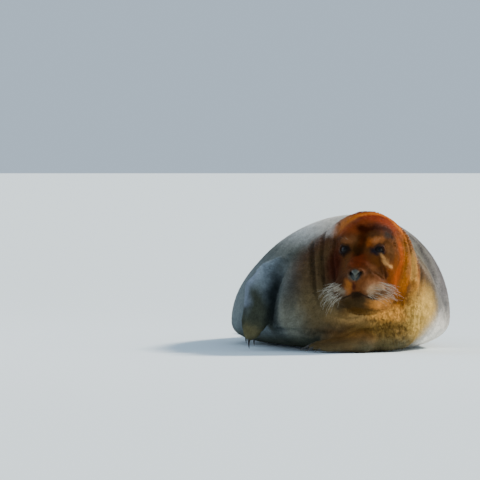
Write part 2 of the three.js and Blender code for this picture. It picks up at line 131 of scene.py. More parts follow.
FLOOR_HALF = 600  # metres, so that its edge makes the horizon
floor_finish, tree, shader = new_material("pale_floor")
wire(tree, shader, {"Base Color": (0.74, 0.85, 0.92, 1), "Roughness": 0.9})
floor_mesh = bpy.data.meshes.new("floor")
corners = [(x * FLOOR_HALF, y * FLOOR_HALF, 0) for x, y in ((-1, -1), (1, -1), (1, 1), (-1, 1))]
floor_mesh.from_pydata(corners, [], [(0, 1, 2, 3)])
floor_mesh.materials.append(floor_finish)
floor = in_scene("floor", floor_mesh)

lamp("low_sun", "SUN", (4.0, 1.8, 3.4), (0, -0.4, 0.2), 0.16, 6.4, (1.0, 0.9, 0.76))
lamp("low_glow", "AREA", (2.6, -2.7, 0.5), (0, -0.9, 0.15), 1.6, 40, (1.0, 0.82, 0.6))
lamp("cool_fill", "AREA", (-4.8, 0.8, 1.6), (0, -0.4, 0.2), 3.0, 70, (0.78, 0.85, 1.0))
surround = bpy.data.worlds.new("cool_surround")
surround.use_nodes = True
tree = surround.node_tree
wire(tree, tree.nodes["Background"], {"Color": (0.66, 0.83, 1.0, 1), "Strength": 0.75})
bpy.context.scene.world = surround
print("three lamps and a surround")

# %% [markdown]
# ## The seal's form
# A seal is fat under one skin, so nearly everything about it is round. It could be sculpted, or
# skinned over a chain of rings. Here the form is a field: a function that tells how far outside the
# seal any point is. The torso is a row of rounded sections, the head a cluster of ellipsoids and
# each flipper a fan of digits, and a soft minimum joins them without a seam. These are the same
# numbers as in the CAD, so the skin fits the solids, and folds can be pressed into it afterwards.

# %% The torso's sections
# Along the back: half width, height of the back, level of the widest part, how far the belly is
# pressed past the floor, and the middle.
SECTIONS = np.array([
    (-878, 0, 148, 148, -148, -20),
    (-800, 188, 318, 138, -16, -20),
    (-640, 257, 374, 120, 3, -10),
    (-450, 298, 417, 102, 8, 14),
    (-200, 321, 399, 92, 8, 6),
    (100, 324, 343, 66, 8, 3),
    (400, 266, 288, 74, 7, 2),
    (700, 178, 222, 70, 4, 10),
    (920, 102, 150, 62, -6, 18),
    (1080, 0, 58, 58, -58, 24),
], float)
ALONG, HALF, TOP, LEVEL, PRESS, MIDDLE = SECTIONS.T
ROUND_TOP = 2.02
ROUND_BELLY = 2.6


def blended(a, b, reach):
    """The smaller of two distances, rounded where they are within reach of each other."""
    h = np.maximum(reach - np.abs(a - b), 0) / reach
    return np.minimum(a, b) - h * h * reach / 4


def curve_through(value):
    """A smooth curve through the sections' values of one measure."""
    before = np.maximum(np.arange(len(ALONG)) - 1, 0)
    after = np.minimum(np.arange(len(ALONG)) + 1, len(ALONG) - 1)
    slope = (value[after] - value[before]) / (ALONG[after] - ALONG[before])

    def at(y):
        i = np.clip(np.searchsorted(ALONG, y, side="right") - 1, 0, len(ALONG) - 2)
        span = ALONG[i + 1] - ALONG[i]
        t = np.clip((y - ALONG[i]) / span, 0, 1)
        rise = (2 * t**3 - 3 * t**2 + 1) * value[i] + (3 * t**2 - 2 * t**3) * value[i + 1]
        return rise + ((t**3 - 2 * t**2 + t) * slope[i] + (t**3 - t**2) * slope[i + 1]) * span

    return at


half_squared = curve_through(HALF**2)
top_squared = curve_through((TOP - LEVEL) ** 2)
belly_squared = curve_through((LEVEL + PRESS) ** 2)
level_at = curve_through(LEVEL)
middle_at = curve_through(MIDDLE)


def outside_torso(p):
    """How far outside the torso points are, from its rounded sections."""
    x, y, z = p.T
    across = x - middle_at(y)
    up = z - level_at(y)
    beyond = np.maximum(np.maximum(ALONG[0] - y, y - ALONG[-1]), 0)
    half, top, belly = (np.sqrt(np.maximum(f(y), 0)) for f in (half_squared, top_squared, belly_squared))
    least = np.minimum(half, np.minimum(top, belly))
    ended = (beyond > 0) | (least < 1)
    power = np.where(up > 0, ROUND_TOP, ROUND_BELLY)
    wide = np.abs(across / np.where(ended, 1, half)) ** power
    tall = np.abs(up / np.where(ended, 1, np.where(up > 0, top, belly))) ** power
    inside = ((wide + tall) ** (1 / power) - 1) * least
    return np.where(ended, np.sqrt(across**2 + up**2 + beyond**2), inside)


print("torso", ALONG[-1] - ALONG[0], "mm long,", 2 * HALF.max(), "wide and", TOP.max(), "high")


# %% The head's lumps
# In the head's own frame: across to the seal's left, back from the face, up from the line of the
# eyes. Each has its middle, its half sizes, how softly it joins the rest, and whether it is paired.
HEAD_TURN = math.radians(-21.5)
HEAD_LUMPS = {
    "cranium": ((-5, 88, 10), (94, 100, 92), 1, False),
    "nape": ((-24, 168, -12), (122, 108, 128), 40, False),
    "temple": ((42, 80, -34), (56, 76, 62), 30, True),
    "brow": ((42, 30, 34), (34, 34, 18), 22, True),
    "snout": ((0, -6, -50), (43, 62, 42), 34, False),
    "cheek": ((50, 34, -80), (40, 54, 48), 34, True),
    "muzzle": ((0, -20, -92), (60, 51, 48), 26, False),
    "whisker_pad": ((41, -30, -114), (42, 37, 36), 24, True),
    "nose": ((0, -61, -74), (27, 17, 19), 18, False),
    "chin": ((0, -8, -151), (44, 48, 26), 12, False),
    "jaw": ((42, 42, -134), (40, 62, 38), 34, True),
    "throat": ((0, 96, -140), (96, 92, 66), 50, False),
}
NECK_BLEND = 70
head_axes = np.array([
    (math.cos(HEAD_TURN), -math.sin(HEAD_TURN), 0),
    (math.sin(HEAD_TURN), math.cos(HEAD_TURN), 0),
    (0, 0, 1),
])


def into_head(p):
    return (p - BETWEEN_EYES) @ head_axes


def from_head(q):
    return np.asarray(q, float) @ head_axes.T + BETWEEN_EYES


def outside_ellipsoid(p, at, half):
    """About how far points are outside an ellipsoid."""
    q = p - np.array(at, float)
    half = np.array(half, float)
    near = np.linalg.norm(q / half, axis=1)
    slope = np.linalg.norm(q / half**2, axis=1)
    return np.where(slope < 1e-9, -half.min(), near * (near - 1) / np.maximum(slope, 1e-9))


def outside_head(p):
    q = into_head(p)
    d = None
    for at, half, blend, paired in HEAD_LUMPS.values():
        for side in (1, -1) if paired else (1,):
            lump = outside_ellipsoid(q * (side, 1, 1), at, half)
            d = lump if d is None else blended(d, lump, blend)
    return d


print("head of", len(HEAD_LUMPS), "lumps, turned", round(math.degrees(HEAD_TURN), 1), "degrees")


# %% The flippers
# A flipper lies in a plane of its own: along it from the wrist, across it, and out of its back. Its
# digits are given across and along, and a web joins them.
FORE = {
    "digits": ((-40, 104), (-22, 132), (0, 146), (21, 134), (38, 106)),
    "root": 20, "tip": 12, "thick": (22, 10), "web": 40,
    "claw": {"radius": 5.6, "length": 36, "droop": 9, "set": 6, "lift": 0.1},
}
HIND = {
    "digits": ((-24, 248), (-14, 214), (0, 198), (14, 214), (24, 248)),
    "root": 18, "tip": 11, "thick": (18, 9), "web": 30,
    "claw": {"radius": 3.4, "length": 17, "droop": 3, "set": -14, "lift": 0.75},
}
LIMBS = {
    "foreflipper_right": {
        "build": FORE, "arm": ((-230, -608, 246), (-262, -596, 224), (-291, -586, 187)),
        "radius": (40, 46, 38), "towards": (-0.2, 0, -0.98), "back": (-0.76, -0.64, 0),
        "spread": 0.85, "curl": -0.4,
    },
    "foreflipper_left": {
        "build": FORE, "arm": ((104, -764, 57), (54, -820, 53), (-20, -872, 32)),
        "radius": (50, 50, 33), "towards": (-1, 0.02, -0.09), "back": (0, -0.2, 0.98),
        "spread": 1.05, "curl": 0,
    },
    "hindflipper_right": {
        "build": HIND, "arm": ((-44, 872, 66), (-72, 950, 54), (-88, 1012, 42)),
        "radius": (46, 40, 34), "towards": (-0.12, 0.98, -0.05), "back": (-0.34, 0, 0.94),
        "spread": 2.5, "curl": 0,
    },
    "hindflipper_left": {
        "build": HIND, "arm": ((78, 872, 66), (106, 950, 54), (122, 1012, 42)),
        "radius": (46, 40, 34), "towards": (0.12, 0.98, -0.05), "back": (0.3, 0, 0.95),
        "spread": 2.5, "curl": 0,
    },
}
ARM_BLEND = 22
ARM_REACH = 420  # nothing of a limb is further from its wrist
for limb in LIMBS.values():
    towards = np.array(limb["towards"]) / np.linalg.norm(limb["towards"])
    across = np.cross(limb["back"], towards)
    across /= np.linalg.norm(across)
    limb["axes"] = np.stack([towards, across, np.cross(towards, across)], 1)
    limb["wrist"] = np.array(limb["arm"][-1], float)
    limb["tips"] = [(along, wide * limb["spread"]) for wide, along in limb["build"]["digits"]]


def outside_bar(p, a, b, radius_a, radius_b):
    """How far points are outside a tapering bar with round ends."""
    run = b - a
    t = np.clip((p - a) @ run / (run @ run), 0, 1)
    return np.linalg.norm(p - a - t[:, None] * run, axis=1) - (radius_a + (radius_b - radius_a) * t)


def outside_flipper(p, limb):
    """How far points are outside a limb: a bent arm, and a flat hand in its own plane."""
    build = limb["build"]
    q = (p - limb["wrist"]) @ limb["axes"]
    joints = (np.array(limb["arm"], float) - limb["wrist"]) @ limb["axes"]
    upper = outside_bar(q, joints[0], joints[1], *limb["radius"][:2])
    arm = blended(upper, outside_bar(q, joints[1], joints[2], *limb["radius"][1:]), 10)
    flat = q * (1, 1, 0)
    outline = None
    bone = None
    for (wide, _), (along, out) in zip(build["digits"], limb["tips"]):
        start, end = np.array([0, wide, 0.0]), np.array([along, out, 0.0])
        bar = outside_bar(flat, start, end, build["root"], build["tip"])
        outline = bar if outline is None else blended(outline, bar, build["web"])
        bone = bar if bone is None else np.minimum(bone, bar)
    on_digit = np.clip(-bone / build["tip"], 0, 1)
    reach = max(along for along, _ in limb["tips"])
    at_wrist, at_tip = build["thick"]
    thick = at_wrist + (at_tip - at_wrist) * np.clip(q[:, 0] / reach, 0, 1)
    thick = thick * (0.8 + 0.2 * on_digit)
    curl = 0.001 * limb["curl"] * np.maximum(q[:, 0], 0) ** 2
    hand = np.hypot(np.maximum(outline + thick, 0), q[:, 2] + curl) - thick
    return blended(arm, hand, 36)


def outside_seal(p):
    """How far points are outside the whole form, all in one with no seam."""
    d = outside_torso(p)
    front = p[:, 1] < -500
    d[front] = blended(d[front], outside_head(p[front]), NECK_BLEND)
    for limb in LIMBS.values():
        near = np.linalg.norm(p - limb["wrist"], axis=1) < ARM_REACH
        if near.any():
            d[near] = blended(d[near], outside_flipper(p[near], limb), ARM_BLEND)
    return d


print("limbs:", ", ".join(LIMBS))

# %% [markdown]
# ## Folds, lids, nose and mouth
# With its neck drawn in, the seal's loose skin lies in deep folds round its head, and its eyes sit
# between thick lids. Such detail is often sculpted or painted as displacement. Here each fold is a
# short line of points on the form, and a soft tube along it is taken away from the field, so that a
# crease has round shoulders at any fineness of mesh. The lids are a shell round each eyeball with an
# almond-shaped opening, and the nostrils, the mouth and the ear holes are small tools of their own.

# %% Tools that press and raise the form
COAT_DEPTH = 2.6


def settled(field, p, rounds=2, reach=5.0):
    """The points moved onto the surface where the field is zero."""
    p = np.array(p, float)
    for _ in range(rounds):
        d = field(p)
        slope = np.stack([field(p + step) - d for step in np.eye(3) * 0.4], 1) / 0.4
        steep = np.maximum((slope**2).sum(1), 1e-6)
        p += slope * np.clip(-d / steep, -reach, reach)[:, None]
    return p


def carved(d, tool, softness):
    """A distance with a tool taken away from its inside."""
    return -blended(-d, tool, softness)


def from_line(p, line):
    """How far points are from a line through several points, and how far along it, from 0 to 1."""
    line = np.asarray(line, float)
    steps = np.linalg.norm(np.diff(line, axis=0), axis=1)
    start = np.concatenate([[0], np.cumsum(steps)])
    best = np.full(len(p), np.inf)
    along = np.zeros(len(p))
    for a, b, s, step in zip(line[:-1], line[1:], start, steps):
        t = np.clip((p - a) @ (b - a) / step**2, 0, 1)
        d = np.linalg.norm(p - a - t[:, None] * (b - a), axis=1)
        nearer = d < best
        best = np.where(nearer, d, best)
        along = np.where(nearer, (s + t * step) / start[-1], along)
    return best, along


def smooth_line(points, rounds=2):
    """A line with its corners cut off, a few times over."""
    line = np.asarray(points, float)
    for _ in range(rounds):
        a, b = line[:-1], line[1:]
        middle = np.stack([0.75 * a + 0.25 * b, 0.25 * a + 0.75 * b], 1).reshape(-1, 3)
        line = np.concatenate([line[:1], middle, line[-1:]])
    return line


print("the skin lies", COAT_DEPTH, "mm inside the solids")


# %% The folds
# Points are in the head's frame for folds of the head and neck, and in the seal's for the rest.
# After them come the groove's radius, its softness and the rise of the skin beside it.
HEAD_FOLDS = {
    "collar_outer": (((-200, 226, 70), (-197, 178, 30), (-172, 78, -14), (-155, 24, -73), (-145, 6, -133),
                      (-124, 0, -186)), 5.5, 11, 2.5),
    "collar_middle": (((-170, 206, 88), (-152, 143, 54), (-142, 80, 17), (-131, 28, -43), (-119, 6, -95),
                       (-104, 0, -148)), 5.5, 10, 2.5),
    "collar_inner": (((-122, 160, 98), (-97, 111, 80), (-92, 87, 68), (-92, 59, 48), (-93, 34, 17),
                      (-96, 30, -20), (-86, 6, -56), (-81, -4, -90), (-82, -3, -124)), 4.5, 9, 2.0),
    "left_cheek": (((84, 149, 53), (97, 136, 19), (103, 123, -14), (104, 108, -58), (101, 87, -92)),
                   3.5, 8, 2.0),
    "left_inner": (((40, 200, 104), (76, 186, 78), (98, 176, 36), (110, 168, -20), (118, 150, -74),
                    (116, 108, -118), (98, 74, -156)), 9, 14, 4.0),
    "left_outer": (((90, 280, 44), (112, 262, -10), (124, 236, -60), (134, 180, -108), (128, 120, -160)),
                   7, 14, 4.0),
    "under_jaw": (((-84, 0, -150), (-66, -4, -172), (-30, -8, -186), (10, -8, -187), (46, 0, -180),
                   (70, 30, -160)), 4, 9, 1.5),
    "throat": (((-96, 10, -186), (-50, 12, -204), (10, 16, -208), (70, 30, -200), (108, 70, -176)),
               4, 14, 2.0),
    "below_eye": (((52, -8, -14), (60, 2, -32), (70, 8, -48), (82, 22, -60)), 2.2, 6, 1.6),
    "muzzle_left": (((64, 2, -42), (70, -7, -58), (76, -6, -78), (77, -28, -95)), 2.4, 8, 1.4),
    "muzzle_right": (((-64, -6, -50), (-72, -10, -66), (-78, -12, -84), (-76, -26, -98)), 2.0, 8, 1.2),
    "cheek_right": (((-30, -46, -54), (-46, -36, -70), (-66, -26, -90)), 2.2, 9, 0.8),
    "cheek_left": (((30, -46, -54), (46, -36, -70), (70, -14, -92)), 2.2, 9, 0.8),
}
BODY_FOLDS = {
    "behind_shoulder": (((90, -500, 404), (130, -530, 374), (165, -553, 346), (204, -581, 297),
                         (240, -597, 228), (282, -560, 151), (304, -520, 70)), 9, 40, 3.0),
    "armpit": (((-228, -662, 262), (-238, -668, 225), (-256, -662, 170), (-268, -645, 108),
                (-270, -610, 60)), 9, 16, 2.0),
    "above_right_arm": (((-190, -640, 306), (-226, -600, 284), (-270, -560, 262)), 5, 18, 2.0),
    "belly": (((-270, -580, 60), (-240, -690, 60), (-202, -774, 60), (-140, -827, 62), (-80, -852, 62)),
              5, 22, 3.0),
    "over_left_arm": (((-100, -850, 56), (-60, -862, 74), (-14, -874, 98), (32, -872, 100),
                       (70, -862, 84), (112, -830, 76), (150, -790, 60)), 6, 12, 2.0),
    "back_low": (((-150, 560, 236), (-60, 600, 262), (40, 610, 262), (130, 575, 236)), 5, 50, 2.0),
    "tail_root_right": (((-60, 852, 140), (-84, 880, 96), (-92, 900, 60)), 4, 16, 1.0),
    "tail_root_left": (((90, 852, 140), (112, 880, 96), (120, 900, 60)), 4, 16, 1.0),
}
folds = {}
for name, (points, radius, softness, rise) in HEAD_FOLDS.items():
    folds[name] = (from_head(points), radius, softness, rise)
for name, (points, radius, softness, rise) in BODY_FOLDS.items():
    folds[name] = (np.array(points, float), radius, softness, rise)
for name, (points, *sizes) in folds.items():
    folds[name] = (smooth_line(settled(outside_seal, points, 3, 12)), *sizes)
print(len(folds), "folds")


def with_folds(d, p):
    """The field with a groove along each fold and the skin raised beside it."""
    for line, radius, softness, rise in folds.values():
        wide = 6.5 * radius + softness
        low, high = line.min(0) - wide, line.max(0) + wide
        near = ((p > low) & (p < high)).all(1)
        if not near.any():
            continue
        away, along = from_line(p[near], line)
        fade = np.clip(np.minimum(along, 1 - along) * 3.5, 0, 1)
        fade = fade * fade * (3 - 2 * fade)
        shoulder = np.exp(-(((away - 2.4 * radius) / (1.2 * radius)) ** 2))
        raised = d[near] - rise * fade * shoulder
        d[near] = carved(raised, away - radius * fade + softness * (1 - fade), softness)
    return d


# %% The eyelids
EYE_RADIUS = 18.5
EYE_AT = (47, 13, 3)
SIGHT = (0.50, -0.86, 0.13)  # the way the left eye looks
LID = 2.4  # thickness
OPENING = (16.4, 10.8, 10.4)  # of the almond: half its length, its rise above the slit and below
LID_GROOVE = (21, 17.5)  # half sizes of the crease that runs round the lids
EYES = {"left": 1, "right": -1}


def eye_axes(side):
    """Columns: along the slit, up across it, and out of the eye, in the head's frame."""
    out = np.array(SIGHT) * (side, 1, 1)
    out /= np.linalg.norm(out)
    slit = np.cross(out, (side * 0.08, 0, 1))
    slit *= -np.sign(slit[0]) * side / np.linalg.norm(slit)
    return np.stack([slit, np.cross(out, slit) * side, out], 1)


def eye_places(q, side):
    """Each point's distance from the eye's middle and its places along, across and out of the slit."""
    away = q - np.array(EYE_AT) * (side, 1, 1)
    along, across, out = (away @ eye_axes(side)).T
    across = across * np.sign(eye_axes(side)[2, 1])
    return np.linalg.norm(away, axis=1), along, across, out


def outside_opening(q, side):
    """How far outside the almond between the lids a point is."""
    _, along, across, out = eye_places(q, side)
    half, above, below = OPENING
    arch = np.where(across > 0, above, below)
    return np.where(out > 3, (np.hypot(along / half, across / arch) - 1) * 10, 20)


def with_lids(d, q):
    """The field with thick lids over both eyeballs and a crease round them."""
    for side in EYES.values():
        near = np.linalg.norm(q - np.array(EYE_AT) * (side, 1, 1), axis=1) < 60
        if not near.any():
            continue
        reach, along, across, _ = eye_places(q[near], side)
        lids = blended(d[near], reach - EYE_RADIUS - LID, 20)
        ring = np.abs(np.hypot(along / LID_GROOVE[0], across / LID_GROOVE[1]) - 1) * 17
        d[near] = carved(lids, ring + 1.5 + 3 * np.clip(-across / 8 + 0.4, 0, 2), 5)
    return d


print("lids open", OPENING[1] + OPENING[2], "mm over eyeballs of", 2 * EYE_RADIUS)


# %% The nose, the mouth and the ear holes
def line_on_face(*points):
    """A smooth line on the form, through points given in the head's frame."""
    return smooth_line(settled(outside_seal, from_head(points), 3))


NOSTRIL = smooth_line(((3.5, -84, -88), (6, -84.5, -80), (10, -80, -71), (14.5, -73, -65)))
PHILTRUM = line_on_face((0, -79, -88), (0, -74, -102), (0, -68, -118), (0, -62, -132))
MOUTH_LINE = line_on_face(
    (-62, -30, -150), (-50, -46, -143), (-28, -58, -136), (-10, -62, -131), (0, -62, -129),
    (10, -62, -131), (28, -58, -136), (52, -46, -143), (66, -28, -150),
)
EAR_HOLE = (88, 63, 21)


def mirrored(q):
    """Both halves of the head laid on its left one."""
    return np.abs(q * (1, 0, 0)) + q * (0, 1, 1)


def with_face(d, q):
    """The field with nostrils, the groove of the lip, the mouth and the ear holes."""
    near = (np.abs(q[:, 0]) < 110) & (q[:, 1] < 90) & (q[:, 2] < 60) & (q[:, 2] > -175)
    if not near.any():
        return d
    f, half, p = d[near], mirrored(q[near]), from_head(q[near])
    f = blended(f, outside_ellipsoid(half, (5, -70, -72), (19, 14, 20)), 9)
    away, along = from_line(half, NOSTRIL)
    f = carved(f, away - (2.0 + 3.6 * np.sin(np.pi * np.clip(along, 0.05, 0.9))), 4)
    away, along = from_line(p, PHILTRUM)
    f = carved(f, away - 1.8, 6)
    away, along = from_line(p, MOUTH_LINE)
    middle = np.exp(-((q[near][:, 0] / 16) ** 2))
    ends = np.clip(np.minimum(along, 1 - along) * 6, 0, 1)
    f = carved(f, away - (2.6 + 3.0 * middle) * ends, 5)
    away, _ = from_line(half, (EAR_HOLE, (76, 70, 17)))
    f = carved(blended(f, np.linalg.norm(half - EAR_HOLE, axis=1) - 5, 8), away - 3.4, 3)
    d[near] = f
    return d


def outside_skin(p):
    """The seal's field with its relief, inside the solids by the coat's depth."""
    p = np.asarray(p, float)
    d = outside_seal(p) + COAT_DEPTH
    d = with_folds(d, p)
    q = into_head(p)
    return with_face(with_lids(d, q), q)


print("mouth line of", len(MOUTH_LINE), "points")

# %% [markdown]
# ## One skin over everything
# A field has no faces. Marching through a grid finds where it changes sign, and one vertex in each
# crossed cell, joined to its neighbours, gives clean four-sided faces (surface nets). A fine grid
# all over would be wasted on the back, so the grid is coarse, and faces are split where detail is:
# the seal's front and its flippers once, the head twice, the eyes, nose and mouth three times, and
# the lid edges and nostrils four times. After each split the vertices are put back onto the field.

# %% Mesh the coarse form
CELL = 12.0
BOX = ((-372, -1032, -16), (372, 1320, 440))  # all of the seal lies within it


def net_over(field, low, high, cell):
    """Points and four-sided faces where a field changes sign within a box."""
    axes = [np.arange(a, b + cell, cell) for a, b in zip(low, high)]
    grid = np.stack(np.meshgrid(*axes, indexing="ij"), -1).reshape(-1, 3)
    slabs = np.array_split(grid, 1 + len(grid) // 200000)
    value = np.concatenate([field(slab) for slab in slabs]).reshape([len(a) for a in axes])
    cells = [len(a) - 1 for a in axes]
    count = np.zeros(cells)
    total = np.zeros([*cells, 3])

    def corner(c):
        return value[tuple(slice(k, k + n) for k, n in zip(c, cells))]

    for c in np.ndindex(2, 2, 2):
        for axis in range(3):
            if c[axis]:
                continue
            end = list(c)
            end[axis] = 1
            a, b = corner(c), corner(end)
            crossed = (a < 0) != (b < 0)
            place = np.zeros([*cells, 3]) + c
            place[..., axis] += np.where(crossed, a / np.where(crossed, a - b, 1), 0)
            total += place * crossed[..., None]
            count += crossed
    used = count > 0
    number = np.full(cells, -1)
    number[used] = np.arange(used.sum())
    points = (total[used] / count[used][:, None] + np.argwhere(used)) * cell + [a[0] for a in axes]
    quads = []
    inside = value < 0
    for axis in range(3):
        u, w = (axis + 1) % 3, (axis + 2) % 3
        near = np.take(inside, np.arange(cells[axis]), axis)
        far = np.take(inside, np.arange(1, cells[axis] + 1), axis)
        edge = np.argwhere(near != far)
        keep = (edge[:, u] > 0) & (edge[:, w] > 0) & (edge[:, u] < cells[u]) & (edge[:, w] < cells[w])
        edge = edge[keep]

        def cell_at(du, dw):
            place = edge.copy()
            place[:, u] -= du
            place[:, w] -= dw
            return number[tuple(place.T)]

        ring = np.stack([cell_at(0, 0), cell_at(1, 0), cell_at(1, 1), cell_at(0, 1)], 1)
        turned = ~inside[tuple(edge.T)]
        ring[turned] = ring[turned][:, ::-1]
        quads.append(ring)
    return points, np.concatenate(quads)


points, quads = net_over(outside_seal, *BOX, CELL)
skin_mesh = bpy.data.meshes.new("skin")
skin_mesh.from_pydata(settled(outside_seal, points, 2, 6).tolist(), [], quads.tolist())
print("coarse net:", len(points), "points,", len(quads), "faces")


# %% Even it out, then refine it where detail is
def places_of(mesh):
    flat = np.empty(len(mesh.vertices) * 3)
    mesh.vertices.foreach_get("co", flat)
    return flat.reshape(-1, 3)


def put(mesh, places):
    mesh.vertices.foreach_set("co", np.ascontiguousarray(places, np.float32).ravel())


def edges_of(mesh):
    flat = np.empty(len(mesh.edges) * 2, np.int32)
    mesh.edges.foreach_get("vertices", flat)
    return flat.reshape(-1, 2)


def relaxed(places, edges, amount):
    """Each place moved part of the way to the middle of its neighbours."""
    total = np.zeros_like(places)
    for axis in range(3):
        for a, b in ((0, 1), (1, 0)):
            total[:, axis] += np.bincount(edges[:, a], places[edges[:, b], axis], len(places))
    count = np.bincount(edges.ravel(), minlength=len(places))
    return places + amount * (total / np.maximum(count, 1)[:, None] - places)


def refine(mesh, region):
    """Splits the faces whose middles are in a region."""
    form = bmesh.new()
    form.from_mesh(mesh)
    middles = np.array([face.calc_center_median() for face in form.faces])
    wanted = region(middles)
    edges = {edge for face, want in zip(form.faces, wanted) if want for edge in face.edges}
    bmesh.ops.subdivide_edges(form, edges=list(edges), cuts=1, use_grid_fill=True)
    form.to_mesh(mesh)
    form.free()


def front_and_flippers(p):
    chosen = p[:, 1] < -590
    for limb in LIMBS.values():
        from_hand = p - limb["wrist"] - limb["axes"][:, 0] * 70
        chosen |= np.linalg.norm(from_hand, axis=1) < 150
    return chosen


def head_and_collar(p):
    q = into_head(p)
    face = (np.abs(q[:, 0]) < 112) & (q[:, 1] < 120) & (q[:, 2] > -196)
    collar = (q[:, 0] < -70) & (q[:, 0] > -214) & (q[:, 1] < 236) & (q[:, 2] > -150) & (p[:, 2] > 90)
    return face | collar


def eyes_nose_and_mouth(p):
    both = mirrored(into_head(p))
    out = np.array(EYE_AT) + eye_axes(1)[:, 2] * EYE_RADIUS
    eye = np.linalg.norm(both - out, axis=1) < 28
    nose = np.linalg.norm(both - (8, -74, -74), axis=1) < 30
    mouth = (from_line(p, MOUTH_LINE)[0] < 12) | (from_line(p, PHILTRUM)[0] < 9)
    ear = np.linalg.norm(both - EAR_HOLE, axis=1) < 12
    return eye | nose | mouth | ear


def lids_and_nostrils(p):
    both = mirrored(into_head(p))
    edge = np.abs(outside_opening(both, 1)) < 5
    return edge & (both[:, 1] < 20) | (from_line(both, NOSTRIL)[0] < 10)


def outside_bare_form(p):
    d = outside_seal(p) + COAT_DEPTH
    return with_lids(d, into_head(p))


def fit_skin(field, rounds, reach, ease=0.3):
    """Evens the skin's points out and puts them back onto a field, a few times over."""
    edges = edges_of(skin_mesh)
    for _ in range(rounds):
        put(skin_mesh, settled(field, relaxed(places_of(skin_mesh), edges, ease), 1, reach))


fit_skin(outside_bare_form, 3, 6, 0.5)
refine(skin_mesh, front_and_flippers)
fit_skin(outside_bare_form, 1, 4, 0.2)
refine(skin_mesh, head_and_collar)
fit_skin(outside_skin, 2, 3)
refine(skin_mesh, eyes_nose_and_mouth)
fit_skin(outside_skin, 1, 2, 0.2)
refine(skin_mesh, lids_and_nostrils)
fit_skin(outside_skin, 2, 1.5, 0.25)
print("skin:", len(skin_mesh.vertices), "points")


# %% Open the lids
# Faces within each almond are taken out, the edge is drawn onto its curve, and the lid's own
# thickness is turned in to the eyeball.
def open_lids(mesh):
    form = bmesh.new()
    form.from_mesh(mesh)
    for side in EYES.values():
        middle = np.array(EYE_AT) * (side, 1, 1)
        q = into_head(np.array([v.co for v in form.verts]))
        near = np.linalg.norm(q - middle, axis=1) < 34
        inside = near & (outside_opening(q, side) < 0)
        within = {v for v, is_inside in zip(form.verts, inside) if is_inside}
        gone = [f for f in form.faces if 2 * sum(v in within for v in f.verts) > len(f.verts)]
        bmesh.ops.delete(form, geom=gone, context="FACES")
        rim = [e for e in form.edges if e.is_boundary]
        verts = list({v for e in rim for v in e.verts})

        def almond(p):
            return outside_opening(into_head(p), side)

        edge = np.array([v.co for v in verts])
        for _ in range(5):
            edge = settled(outside_skin, settled(almond, edge, 1, 2), 1, 2)
        for v, place in zip(verts, edge):
            v.co = place
        for v in bmesh.ops.extrude_edge_only(form, edges=rim)["geom"]:
            if isinstance(v, bmesh.types.BMVert):
                away = into_head(np.array([v.co]))[0] - middle
                v.co = from_head(middle + away * (EYE_RADIUS - 1.5) / np.linalg.norm(away))
        print("lid edge of", len(verts), "points")
        rim = [e for e in form.edges if e.is_boundary]
        bmesh.ops.holes_fill(form, edges=rim, sides=0)
    form.to_mesh(mesh)
    form.free()


open_lids(skin_mesh)

# %% [markdown]
# ## Markings
# The coat is grey and dark olive under the belly, a little paler on the hump. Iron
# in the sea floor's mud stains the head and neck rust-red, with a dark bar over the crown and down
# between the eyes. Light and shade are painted in too: a highlight on the hump and behind the head,
# light low on the left flank and along rims of the head, neck and arm, one side of the face lighter
# than the other, and shade in creases, under the arm and behind the neck. A painted image would do,
# but here each marking is a soft patch with a place, a size and a colour, or a stripe along a line,
# mixed over the one before. The result is one colour at each point of the skin, which the tufts that
# grow there take over, so skin and coat always agree.

# %% Patches of colour
HEAD, BODY = "head", "body"


def linear(colour):
    """Screen values from 0 to 255 as linear light."""
    c = np.array(colour) / 255
    return np.where(c < 0.04, c / 12.92, ((c + 0.055) / 1.055) ** 2.4)


BACK_GREY = (86, 86, 75)
BELLY_OLIVE = (72, 72, 54)
